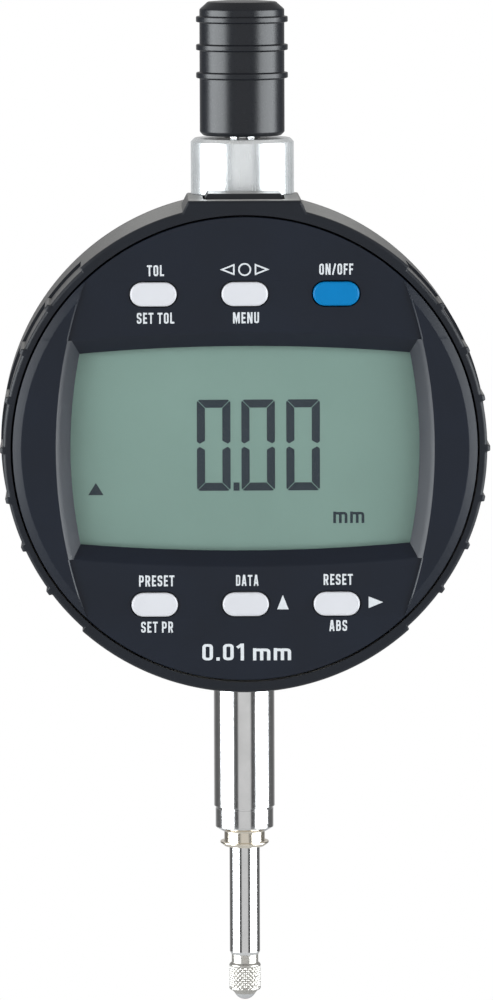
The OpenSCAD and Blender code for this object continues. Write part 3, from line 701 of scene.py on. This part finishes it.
def build_battery_door():
    """Round door with a rounded coin slot, a turn mark and three bayonet lugs."""
    low, high = cad("battery_door")
    back, inner = -high.y, -low.y
    outer, groove = door_circle(DOOR_R, 128), door_circle(SEAL_GROOVE_R, 128)
    shape = Shape()
    face = [shape.ring(door_circle(DOOR_R - DOOR_EDGE - MARGIN, 128), back),
            *fillet_rings(shape, outer, back, DOOR_EDGE, drop=-1)]
    side = shape.rings((outer, SEAL_GROOVE_Z[0]), (groove, SEAL_GROOVE_Z[0]),
                       (groove, SEAL_GROOVE_Z[1]), (outer, SEAL_GROOVE_Z[1]), (outer, inner))
    shape.skins(face + side)
    slot = obround(*COIN_SLOT, (DOOR_X, 0), 10)
    dot = circle(MARK_R, 24, (DOOR_X, MARK_AT[0]))
    pits = []
    for outline, depth in ((slot, 0.9), (dot, MARK_DEPTH)):
        pits.append(add_hole(shape, outline, back, PIT_EDGE, back + depth))
        shape.cap(pits[-1][-1])
    shape.cap(face[0], pits[0][0], pits[1][0])
    bore = door_circle(DOOR_WELL_R)
    well = shape.skins(shape.rings((bore, inner), (bore, DOOR_WELL_Z)))
    shape.cap(well[-1])
    shape.cap(side[-1], well[0])
    for turn in (0, 120, 240):
        ends = turn - LUG_HALF, turn + LUG_HALF
        sector = arc(LUG_R[1], *ends, 2, (DOOR_X, 0)) + arc(LUG_R[0], *ends[::-1], 2, (DOOR_X, 0))
        shape.add_prism(sector, *LUG_Z)
    shape.build("coin_door", "battery_door", "cover_plastic", ["battery_door"])


# ---------------------------------------------------------------- display head

HEAD_LOW, HEAD_HIGH = cad("display_bezel")
HEAD_R = (HEAD_HIGH.x - HEAD_LOW.x) / 2
FACE_Z = RIM_Z
CRESCENT_Z = -HEAD_LOW.y
SKIRT_Z = -HEAD_HIGH.y
LENS_Z = -cad("window_lens")[0].y
LCD_Z = -cad("lcd_panel")[0].y
PLATE_Z = 13.0
HEAD_CAVITY_R = 28.5
SCREEN_HALF = (22.6, 13.3)
SIDE_ARC_X = 40.1
SIDE_SLOPE = 0.9
END_ARC_Y = 235.8
END_SLOPE = 1.27
BEVEL_R = 28.9
CRESCENT_SOFT = 0.24
LENS_SEAT_HALF = (23.65, 14.45)
KEY_PITCH = 11.8
KEY_ROW = 20.15
KEY_SIZE = (6.0, 3.1)
KEY_GAP = 0.13
KEY_FLANGE_Z = (12.2, 12.95)
KEY_HOLE_EDGE = ((0.08, 0), (0.025, -0.03), (0, -0.1))
KEYS = {(-1, 1): "key_tolerance", (0, 1): "key_menu", (1, 1): "key_power",
        (-1, -1): "key_preset", (0, -1): "key_data", (1, -1): "key_reset"}


def side_radius(z):
    return SIDE_ARC_X + SCREEN_HALF[0] + SIDE_SLOPE * (z - LENS_Z)


def end_radius(z):
    return END_ARC_Y + SCREEN_HALF[1] + END_SLOPE * (z - LENS_Z)


def window_corner(z, grow=0.0):
    """Upper right corner of the window pocket at a level."""
    side, end = side_radius(z) + grow, end_radius(z) + grow
    y = SCREEN_HALF[1]
    for _ in range(30):
        x = -SIDE_ARC_X + math.sqrt(side ** 2 - y ** 2)
        y = -END_ARC_Y + math.sqrt(end ** 2 - x ** 2)
    return x, y


def window_outline(z, grow=0.0):
    """Four arcs, from the right one anticlockwise."""
    side, end = side_radius(z) + grow, end_radius(z) + grow
    x, y = window_corner(z, grow)
    side_turn = math.degrees(math.asin(y / side))
    end_turn = math.degrees(math.asin(x / end))
    arcs = (((-SIDE_ARC_X, 0), side, 0, side_turn), ((0, -END_ARC_Y), end, 90, end_turn),
            ((SIDE_ARC_X, 0), side, 180, side_turn), ((0, END_ARC_Y), end, 270, end_turn))
    count = 24
    points = []
    for centre, r, middle, half in arcs:
        for i in range(count):
            px, py = polar(r, middle - half + 2 * half * i / count)
            points.append((centre[0] + px, centre[1] + py))
    return points


def build_bezel():
    shape = Shape()
    outer, cavity = circle(HEAD_R, 360), circle(HEAD_CAVITY_R, 360)
    rim = fillet_rings(shape, outer, FACE_Z, 0.12)
    skirt = shape.rings((outer, SKIRT_Z), (cavity, SKIRT_Z), (cavity, PLATE_Z))
    shape.skins(rim + skirt)
    window = shape.skins(shape.rings(
        (window_outline(FACE_Z, 0.12), FACE_Z), (window_outline(FACE_Z, 0.03), FACE_Z - 0.04),
        (window_outline(FACE_Z - 0.14), FACE_Z - 0.14), (window_outline(LENS_Z), LENS_Z)))
    x, y = LENS_SEAT_HALF
    seat = [(x, -y), (x, y), (-x, y), (-x, -y)]
    seat_rings = shape.skins(shape.rings((seat, LENS_Z), (seat, PLATE_Z)))
    shape.cap(seat_rings[0], window[-1])
    holes = []
    for column, row in KEYS:
        hole = obround(KEY_SIZE[0] + 2 * KEY_GAP, KEY_SIZE[1] + 2 * KEY_GAP,
                       (column * KEY_PITCH, row * KEY_ROW))
        holes.append(add_hole(shape, hole, FACE_Z, KEY_HOLE_EDGE, PLATE_Z))
    shape.cap(rim[0], window[0], *[walls[0] for walls in holes])
    shape.cap(skirt[-1], seat_rings[1], *[walls[-1] for walls in holes])
    for side in (-1, 1):
        add_crescent(shape, side)
    shape.build("face_bezel", "display", "bezel_plastic", ["display_bezel"], sharp=30)


def crescent_section(y, in_window):
    """Section of the left crescent at a height y, from the window to the head's edge."""
    inner = SIDE_ARC_X - math.sqrt(side_radius(CRESCENT_Z) ** 2 - y ** 2)
    bevel = -math.sqrt(max(0.0, BEVEL_R ** 2 - y ** 2))
    rim = -math.sqrt(max(0.0, HEAD_R ** 2 - y ** 2))
    slope = (CRESCENT_Z - FACE_Z) / (HEAD_R - BEVEL_R)

    def on_top(x):
        return x, y, min(CRESCENT_Z, FACE_Z + slope * (HEAD_R - math.hypot(x, y)))

    if in_window:
        level = FACE_Z - 0.2
        foot = SIDE_ARC_X - math.sqrt((side_radius(level) - 0.004) ** 2 - y ** 2)
        near, far = 0.12, 0.45
    else:
        level = FACE_Z - 0.02
        foot = inner + 0.02
        near, far = 0.04, 0.86
    crest = on_top(inner)[2]
    soft = min(CRESCENT_SOFT, max(0.0, crest - FACE_Z) * 0.4)
    edge = inner - soft
    shoulder = min(bevel, edge)
    wall_x = inner + (foot - inner) * (soft / max(1e-6, crest - level))
    return [(foot, y, level), (wall_x, y, crest - soft),
            (inner - soft * near, y, crest - soft * far),
            (inner - soft * far, y, crest - soft * near),
            on_top(edge), on_top(shoulder + 0.12), on_top(shoulder - 0.12),
            (rim + 0.04, y, FACE_Z + 0.02), (rim + 0.02, y, FACE_Z - 0.02)]


def crescent_tip_y():
    """Height at which the inner arc of a crescent meets the edge of the head."""
    r = side_radius(CRESCENT_Z)
    x = (HEAD_R ** 2 - r ** 2 + SIDE_ARC_X ** 2) / (2 * SIDE_ARC_X)
    return math.sqrt(HEAD_R ** 2 - x ** 2)


def add_crescent(shape, side):
    tip = crescent_tip_y() - 0.25
    corner = window_corner(FACE_Z)[1]
    beside = [(-corner + 2 * corner * i / 40, True) for i in range(41)]
    above = [(corner + 0.001 + (tip - corner) * (i / 16), False) for i in range(17)]
    below = [(-y, False) for y, _ in reversed(above)]
    rings = []
    for row in below + beside + above:
        rings.append(shape.ring3([(side * -x, y, z) for x, y, z in crescent_section(*row)]))
    shape.skins(rings)
    shape.cap(rings[0])
    shape.cap(rings[-1])


def build_keys():
    for (column, row), node in KEYS.items():
        low, high = cad(node)
        top, foot = -low.y, -high.y
        centre = (column * KEY_PITCH, row * KEY_ROW)
        shape = Shape()
        cap = obround(*KEY_SIZE, centre, 16)
        crown = shape.ring(inset(cap, 0.75), top)
        shoulder = fillet_rings(shape, cap, top - 0.04, 0.3, steps=4)
        flange = obround(KEY_SIZE[0] + 1.2, KEY_SIZE[1] + 1.2, centre, 16)
        levels = shape.rings((cap, KEY_FLANGE_Z[1]), (flange, KEY_FLANGE_Z[1]),
                             (flange, KEY_FLANGE_Z[0]))
        shape.skins([crown] + shoulder + levels)
        shape.cap(crown)
        post = circle(1.2, 32, centre)
        stem = shape.skins(shape.rings((post, KEY_FLANGE_Z[0]), (post, foot)))
        shape.cap(levels[-1], stem[0])
        shape.cap(stem[-1])
        slot = "key_blue" if node == "key_power" else "key_white"
        shape.build(node + "_cap", node, slot, [node])


# ---------------------------------------------------------------- screen and lettering

DIGIT_SIZE = (4.35, 11.86)
DIGIT_X = (-6.22, -0.45, 5.37)
DIGIT_Y = -5.6
BAR = 1.05


def zero_outlines(x, y):
    """Outlines of the six bars of a seven-bar zero whose lower left corner is (x, y)."""
    corner, slit, mid_gap, tip = 0.3, 0.06, 0.2, (0.36, 0.28, 0.4)
    right, high, mid = x + DIGIT_SIZE[0], y + DIGIT_SIZE[1], DIGIT_SIZE[1] / 2
    level = [(corner, 0), ((corner + slit) / 2, (corner - slit) / 2), (BAR + slit, BAR)]
    upright = [(0, corner), ((corner - slit) / 2, (corner + slit) / 2), (BAR, BAR + slit),
               (BAR, mid - mid_gap - tip[2]), (tip[0], mid - mid_gap), (0, mid - mid_gap - tip[1])]

    def placed(points, on_right, on_top):
        return [(right - u if on_right else x + u, high - v if on_top else y + v)
                for u, v in points]

    bars = [placed(level, False, top) + placed(level[::-1], True, top) for top in (True, False)]
    return bars + [placed(upright, side, top) for side in (False, True) for top in (True, False)]


STROKE = 0.08
LETTER_GAP = 0.13
SOFT = 0.14


def line(*path):
    return False, path


def bowl(right, low=0.095, high=0.905, left=()):
    """A closed stroke with soft right-hand corners."""
    return True, [(0.095, low, *left), (right, low, SOFT), (right, high, SOFT),
                  (0.095, high, *left)]


STEM = line((0.095, 0), (0.095, 1))
GLYPHS = {
    # letter: (width, strokes), drawn one unit high
    " ": (0.14, []),
    ".": (0.19, [line((0.095, 0), (0.095, 0.19))]),
    "0": (0.54, [bowl(0.445, left=(SOFT,))]),
    "1": (0.36, [line((0.265, 0), (0.265, 1)), line((0.02, 0.76), (0.25, 0.94))]),
    "m": (0.86, [line((0.095, 0), (0.095, 0.72)), line((0.1, 0.62), (0.43, 0.62, SOFT), (0.43, 0)),
                 line((0.4, 0.62), (0.765, 0.62, SOFT), (0.765, 0))]),
    "/": (0.4, [line((0.06, 0), (0.34, 1))]),
    "A": (0.56, [line((0.095, 0), (0.25, 1)), line((0.465, 0), (0.31, 1)),
                 line((0.14, 0.27), (0.42, 0.27))]),
    "B": (0.5, [bowl(0.405, high=0.53), bowl(0.385, low=0.53)]),
    "D": (0.5, [bowl(0.405)]),
    "E": (0.42, [STEM, line((0.1, 0.905), (0.42, 0.905)), line((0.1, 0.5), (0.38, 0.5)),
                 line((0.1, 0.095), (0.42, 0.095))]),
    "F": (0.42, [STEM, line((0.1, 0.905), (0.42, 0.905)), line((0.1, 0.48), (0.38, 0.48))]),
    "L": (0.42, [line((0.095, 1), (0.095, 0.095), (0.42, 0.095))]),
    "M": (0.68, [STEM, line((0.585, 0), (0.585, 1)),
                 line((0.13, 0.97), (0.34, 0.2), (0.55, 0.97))]),
    "N": (0.54, [STEM, line((0.445, 0), (0.445, 1)), line((0.12, 0.98), (0.42, 0.02))]),
    "O": (0.5, [bowl(0.405, left=(SOFT,))]),
    "P": (0.5, [STEM, line((0.1, 0.905), (0.405, 0.905, SOFT), (0.405, 0.44, SOFT), (0.1, 0.44))]),
    "R": (0.52, [STEM, line((0.27, 0.46), (0.425, 0)),
                 line((0.1, 0.905), (0.405, 0.905, SOFT), (0.405, 0.46, SOFT), (0.1, 0.46))]),
    "S": (0.5, [line((0.405, 0.7), (0.405, 0.905, SOFT), (0.095, 0.905, SOFT), (0.095, 0.57, SOFT),
                     (0.405, 0.43, SOFT), (0.405, 0.095, SOFT), (0.095, 0.095, SOFT),
                     (0.095, 0.3))]),
    "T": (0.5, [line((0, 0.905), (0.5, 0.905)), line((0.25, 0.9), (0.25, 0))]),
    "U": (0.5, [line((0.095, 1), (0.095, 0.095, SOFT), (0.405, 0.095, SOFT), (0.405, 1))]),
}


def thick_line(path, half, closed):
    """Four-sided pieces that cover a line of a given half width, mitred at its corners."""
    count = len(path)
    points = [Vector(point[:2]) for point in path]
    sides = []
    for i, here in enumerate(points):
        inner = closed or 0 < i < count - 1
        last = points[i - 1] if inner or i else here
        after = points[(i + 1) % count] if inner or i < count - 1 else here
        into = (here - last).normalized() if last != here else (after - here).normalized()
        out = (after - here).normalized() if after != here else into
        along = (into + out).normalized()
        across = Vector((-along.y, along.x)) * half / max(0.3, along.dot(into))
        sides.append((here + across, here - across))
    joins = count if closed else count - 1
    return [(*sides[i], *reversed(sides[(i + 1) % count])) for i in range(joins)]


def covered(spot, pieces):
    """Whether a point lies in one of the four-sided, anticlockwise pieces."""
    return any(all((b.x - a.x) * (spot.y - a.y) >= (b.y - a.y) * (spot.x - a.x)
                   for a, b in zip(piece, piece[1:] + piece[:1])) for piece in pieces)


def merged(pieces):
    """Points and faces of the area that overlapping pieces cover together."""
    points = [point for piece in pieces for point in piece]
    loops = [list(range(start, start + 4)) for start in range(0, len(points), 4)]
    points, _, faces, _, _, _ = delaunay_2d_cdt(points, [], loops, 1, 1e-5)
    middles = [sum((points[i] for i in face), Vector((0, 0))) / len(face) for face in faces]
    return points, [tuple(face) for face, middle in zip(faces, middles) if covered(middle, pieces)]


def label_outlines(words, x, y, w, h):
    """Mesh of condensed capitals fitted into a box whose centre is (x, y)."""
    pieces = []
    at = 0.0
    for letter in words:
        width, strokes = GLYPHS[letter]
        for closed, path in strokes:
            for piece in thick_line(rounded(path, closed=closed), STROKE, closed):
                pieces.append([Vector((at + point.x, point.y)) for point in piece])
        at += width + LETTER_GAP
    long = at - LETTER_GAP
    points, faces = merged(pieces)
    return [(x + (p.x / long - 0.5) * w, y + (p.y - 0.5) * h) for p in points], faces


def add_raised(shape, points, faces, z, thick):
    """A thin raised film: a front skin, a back skin and the walls between them."""
    front = shape.ring(points, z + thick)
    back = shape.ring(points, z)
    edges = set()
    for face in faces:
        shape.faces.append(tuple(front[i] for i in face))
        shape.faces.append(tuple(back[i] for i in reversed(face)))
        edges.update(zip(face, face[1:] + face[:1]))
    for a, b in sorted(edges):
        if (b, a) not in edges:
            shape.faces.append((front[a], front[b], back[b], back[a]))


INK_THICK = 0.012
LABELS = [
    # words, x, y, width, height
    ("TOL", -11.5, 23.22, 2.2, 1.45), ("SET TOL", -11.53, 17.08, 4.85, 1.45),
    ("MENU", 0.16, 17.08, 3.4, 1.45), ("ON/OFF", 11.8, 23.32, 4.4, 1.45),
    ("PRESET", -11.54, -17.05, 4.6, 1.45), ("SET PR", -11.5, -23.08, 4.2, 1.45),
    ("DATA", 0.2, -17.04, 2.95, 1.45), ("RESET", 11.98, -16.98, 3.8, 1.45),
    ("ABS", 11.98, -23.0, 2.35, 1.45), ("0.01 mm", 0.1, -26.4, 11.6, 2.2),
]
ARROW_AT = (2.02, 23.32)
ARROW_LINE = 0.2
KEY_ARROWS = [[(4.06, -20.85), (5.56, -20.85), (4.81, -18.97)],
              [(15.93, -20.75), (17.8, -19.98), (15.93, -19.23)]]
MARK_THICK = 0.02
POINT = [(-1.5, DIGIT_Y), (-0.72, DIGIT_Y), (-0.72, DIGIT_Y + 1.07), (-1.5, DIGIT_Y + 1.07)]
SCREEN_ARROW = [(-20.35, -6.1), (-18.35, -6.1), (-19.35, -4.5)]
SCREEN_UNIT = ("mm", 13.45, -8.86, 4.1, 2.08)


def add_line(shape, path):
    """A closed outline drawn in ink."""
    add_raised(shape, *merged(thick_line(path, ARROW_LINE / 2, True)), FACE_Z, INK_THICK)


def build_lettering():
    shape = Shape()
    for label in LABELS:
        add_raised(shape, *label_outlines(*label), FACE_Z, INK_THICK)
    x, y = ARROW_AT
    for side in (-1, 1):
        tip, foot = side * (x + 0.9), side * (x - 0.62)
        add_line(shape, [(tip, y), (foot, y + 0.6), (foot, y - 0.6)])
    add_line(shape, circle(0.74, 40, (0, y)))
    for arrow in KEY_ARROWS:
        shape.add_prism(arrow, FACE_Z, FACE_Z + INK_THICK)
    shape.build("face_lettering", "display", material=MATERIALS["label_ink"])


def build_screen_marks():
    shape = Shape()
    bars = [bar for x in DIGIT_X for bar in zero_outlines(x, DIGIT_Y)]
    for outline in (*bars, POINT, SCREEN_ARROW):
        shape.add_prism(outline, LCD_Z, LCD_Z + MARK_THICK)
    add_raised(shape, *label_outlines(*SCREEN_UNIT), LCD_Z, MARK_THICK)
    shape.build("screen_marks", "display", material=MATERIALS["segment_ink"])


# ---------------------------------------------------------------- shank, spindle and cap

SHANK_TOP = 17 / 2 + 0.15
SHANK_SEAT = (11.95, 13.25)
NECK_TOP = -28.4
KNURL_R = 2.075
KNURL_Z = (-29.85, -33.0)
KNURL_COUNT = 22
KNURL_DEPTH = 0.2
BALL_SEAT = -33.72
CAP_R = 5.55
CAP_RIB_R = 6.0
CAP_RIB_PITCH = 3.65
CAP_RIB_DROP = 2.5
CAP_BORE = (3.43, 9.1)
CAP_PIN = (2.1, 9.6)


def height_of(node):
    low, high = cad(node)
    return low.z, high.z


def build_collar():
    low, high = cad("collar")
    seat = DIAL_Z + BOSS_TOP
    r, top = (high.x - low.x) / 2, high.z
    tube("collar_ring", [
        (3.23, low.z), (4.5, low.z), (4.5, seat), (r - 0.1, seat), (r, seat + 0.1),
        (r, top - 0.48, 0.12), (r - 0.48, top, 0.12), (2.4, top, 0.1), (2.4, top - 0.45),
        (3.23, top - 0.45)], "bright_steel", "collar", material=MATERIALS["satin_steel"], count=128)


def build_shank():
    """The shank, its nose and the bush in the nose."""
    low, high = height_of("shank")
    tube("stem", [
        (3.2, low), (4.0, low, 0.05), (4.0, SHANK_TOP), (4.3, SHANK_TOP), (4.3, SHANK_SEAT[0]),
        (5.2, SHANK_SEAT[0]), (5.2, SHANK_SEAT[1]), (4.0, SHANK_SEAT[1]), (4.0, high), (3.2, high)],
        "bright_steel", "shank", count=128)
    joint = low
    low, high = height_of("shank_nose")
    tube("stem_nose", [
        (2.7, high), (3.17, high), (3.17, joint), (3.72, joint), (3.72, joint - 0.28),
        (3.82, joint - 0.3, 0.06), (3.82, low + 0.6, 0.15), (2.8, low, 0.08), (2.7, low)],
        "bright_steel", "shank_nose", count=128)
    low, high = height_of("lower_bush")
    lip = low + 0.65
    tube("stem_bush", [
        (2.03, high), (2.675, high), (2.675, lip, 0.15), (3.2, lip, 0.06), (3.2, lip - 0.2, 0.06),
        (2.6, low, 0.05), (2.03, low)], "bush_brass", "lower_bush")


def build_spindle():
    low, high = height_of("spindle")
    profile = rounded([(0.02, high), (1.7, high, 0.05), (2.0, high - 0.3, 0.1),
                       (2.0, low + 0.4, 0.1), (1.8, low, 0.05), (0.02, low)], closed=False)
    lathe("spindle_rod", profile, "spindle", "bright_steel", ["spindle"])


def knurl(angle, z):
    """Diamond knurl: two crossing sets of grooves, fading at both ends of the band."""
    top, low = KNURL_Z
    if not low <= z <= top:
        return 0.0
    fade = min(1.0, (top - z) / 0.25, (z - low) / 0.25)
    turn = z * KNURL_COUNT / KNURL_R
    right = abs(math.sin((KNURL_COUNT * angle + turn) / 2))
    left = abs(math.sin((KNURL_COUNT * angle - turn) / 2))
    return -KNURL_DEPTH * fade * (1 - min(right, left) ** 0.8)


def build_contact():
    top, low = KNURL_Z
    profile = rounded([(0.02, NECK_TOP), (1.75, NECK_TOP, 0.08), (1.75, -29.5, 0.1),
                       (2.0, -29.7, 0.05)], closed=False)
    profile += [(KNURL_R, top + (low - top) * i / 48) for i in range(49)]
    profile += rounded([(1.95, -33.15), (1.65, -33.3, 0.08), (1.38, -33.62, 0.05), (1.3, BALL_SEAT),
                        (0.02, BALL_SEAT)], closed=False)
    lathe("contact_stud", profile, "spindle", "bright_steel", ["contact_body"], count=176,
          relief=knurl, material=MATERIALS["knurl_steel"], sharp=60)
    low, high = height_of("contact_ball")
    r = (high - low) / 2
    profile = [(max(0.01, x), low + r + z) for x, z in (polar(r, a) for a in range(-90, 91, 5))]
    lathe("contact_tip", profile, "spindle", "ball_steel", ["contact_ball"], count=64, sharp=80)


def build_cap():
    low, high = height_of("lifting_cap")
    bore_r, bore_top = CAP_BORE[0], low + CAP_BORE[1]
    pin_r, pin_top = CAP_PIN[0], low + CAP_PIN[1]
    path = [(bore_r, bore_top), (bore_r, low), (CAP_R - 0.45, low, 0.1), (CAP_R, low + 0.45, 0.35)]
    for i in (2, 1, 0):
        rib = high - CAP_RIB_DROP - i * CAP_RIB_PITCH
        path += [(CAP_R, rib - 0.42, 0.12), (CAP_RIB_R, rib - 0.36, 0.16),
                 (CAP_RIB_R, rib + 0.36, 0.16), (CAP_R, rib + 0.42, 0.12)]
    path += [(CAP_R, high - 1.2, 0.45), (CAP_R - 1.1, high - 0.22, 0.5), (2.4, high - 0.07, 1.0),
             (0.02, high)]
    profile = [(0.02, pin_top), (pin_r, pin_top), (pin_r, bore_top)]
    profile += rounded(path, steps=5, closed=False)
    lathe("pull_cap", profile, "spindle", "cap_plastic", ["lifting_cap"], count=128)


def build_spring():
    """Extension spring that stretches between its post on the case and its pin on the spindle."""
    low, high = cad("return_spring")
    x, y = (low.x + high.x) / 2, (low.y + high.y) / 2
    wire, coil_r, turns, margin = 0.16, 1.12, 16, 0.2
    up = Vector((0, 0, 1))
    shape = Shape(stem_point)
    rings = []
    steps = turns * 20
    for i in range(steps + 1):
        t = i / steps
        angle = 2 * math.pi * turns * t
        z = low.z + margin + (high.z - low.z - 2 * margin) * t
        centre = Vector((x + coil_r * math.cos(angle), y + coil_r * math.sin(angle), z))
        out = Vector((math.cos(angle), math.sin(angle), 0))
        rings.append(shape.ring3([centre + (out * math.cos(a) + up * math.sin(a)) * wire
                                  for a in (k * math.pi / 4 for k in range(8))]))
    shape.skins(rings)
    shape.cap(rings[0])
    shape.cap(rings[-1])
    piece = shape.build("coil_spring", None, "screw_steel", ["return_spring"], sharp=60)
    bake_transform(piece)


# ---------------------------------------------------------------- scene

LENS_MM = 246.2
SENSOR_MM = 36
CAMERA_DISTANCE = 900 * MM
CAMERA_AIM = (0.4, 0, 32.05)
BOX_SIZE = (1.08, 0.8)
FLOOR_DROP = 0.25
FLOOR_R = 1.0

# Brightness of the studio by angle from the front, in degrees: a pale screen in front, black flags
# beside it, a white wall behind each softbox, then a dim room and a paler back wall
ROOM = ((0, 0.62), (22, 0.62), (27, 0.06), (38, 0.06), (46, 0.6), (52, 1.0), (92, 1.0), (101, 0.2),
        (118, 0.1), (140, 0.12), (158, 0.35), (180, 0.55))
CEILING = (0.42, 0.41, 0.40, 1)
COOL = (0.95, 1.0, 1.03)
WHITE = (1, 1, 1, 1)


def direction(azimuth, elevation):
    """Unit vector by angle in degrees: azimuth 0 is in front of the dial, 90 to the right."""
    az, el = math.radians(azimuth), math.radians(elevation)
    return Vector((math.sin(az) * math.cos(el), -math.cos(az) * math.cos(el), math.sin(el)))


def look_from(azimuth, elevation, roll):
    """Camera that looks at CAMERA_AIM, all angles in degrees."""
    back = direction(azimuth, elevation)
    data = bpy.data.cameras.new("camera")
    data.lens = LENS_MM
    data.sensor_width = SENSOR_MM
    data.clip_end = 50
    camera = add_object("camera", data)
    place = Matrix.Translation(Vector(CAMERA_AIM) * MM + back * CAMERA_DISTANCE)
    turn = (-back).to_track_quat("-Z", "Y").to_matrix().to_4x4()
    camera.matrix_world = place @ turn @ Matrix.Rotation(math.radians(roll), 4, "Z")
    bpy.context.scene.camera = camera


def softbox(name, azimuth, elevation, radiance):
    """Rectangular light one metre from the dial, which it faces."""
    aim = Vector((0, 0, DIAL_Z * MM))
    back = direction(azimuth, elevation)
    data = bpy.data.lights.new(name, "AREA")
    data.shape = "RECTANGLE"
    data.size, data.size_y = BOX_SIZE
    data.energy = radiance * math.pi * BOX_SIZE[0] * BOX_SIZE[1]
    data.color = COOL
    light = add_object(name, data)
    light.location = aim + back
    light.rotation_euler = (aim - light.location).to_track_quat("-Z", "Y").to_euler()


def build_floor():
    """Round white floor below the instrument, which hangs clear of it."""
    level = cad_bounds[0][2] - FLOOR_DROP
    mesh = bpy.data.meshes.new("floor")
    mesh.from_pydata([(x, y, level) for x, y in circle(FLOOR_R)], [], [tuple(range(96))])
    floor = add_object("floor", mesh)
    new = new_material("floor_white")
    grain = new.noise(new.object_mm(), 0.02, 2)
    mesh.materials.append(new.finished({
        "Base Color": new.tones(grain, (0.48, 0.48, 0.48, 1), (0.52, 0.52, 0.52, 1)),
        "Roughness": 1.0, "Specular IOR Level": 0.0, "Emission Color": WHITE,
        "Emission Strength": new.add("LightPath", "Is Camera Ray")}))


def build_world():
    """The studio, dim where the flags stand, and plain white behind the instrument."""
    world = bpy.data.worlds.new("studio")
    bpy.context.scene.world = world
    new = Nodes(world, "Background")
    way = new.add("SeparateXYZ", "X", {"Vector": new.add("TexCoord", "Generated")}).node.outputs
    turn = new.maths("ARCTAN2", way["X"], new.maths("MULTIPLY", way["Y"], -1))
    side = new.maths("DIVIDE", new.maths("ABSOLUTE", turn), math.pi)
    walls = new.ramp(side, [(degrees / 180, (level, level, level, 1)) for degrees, level in ROOM])
    room = new.mixed(new.span(way["Z"], 0, 1, 0.45, 0.75), walls, CEILING)
    new.finished({"Color": new.mixed(new.add("LightPath", "Is Camera Ray"), room, WHITE)})


dress_cad_nodes()
build_case()
build_rear_cover()
build_screws()
build_battery_door()
build_bezel()
build_keys()
build_lettering()
build_screen_marks()
build_collar()
build_shank()
build_spindle()
build_contact()
build_cap()
build_spring()

build_floor()
build_world()
look_from(-1.0, 6.2, -0.19)
softbox("left_box", -73, 5, 6.2)
softbox("right_box", 73, 5, 5.9)
bpy.context.scene.view_settings.view_transform = "Standard"
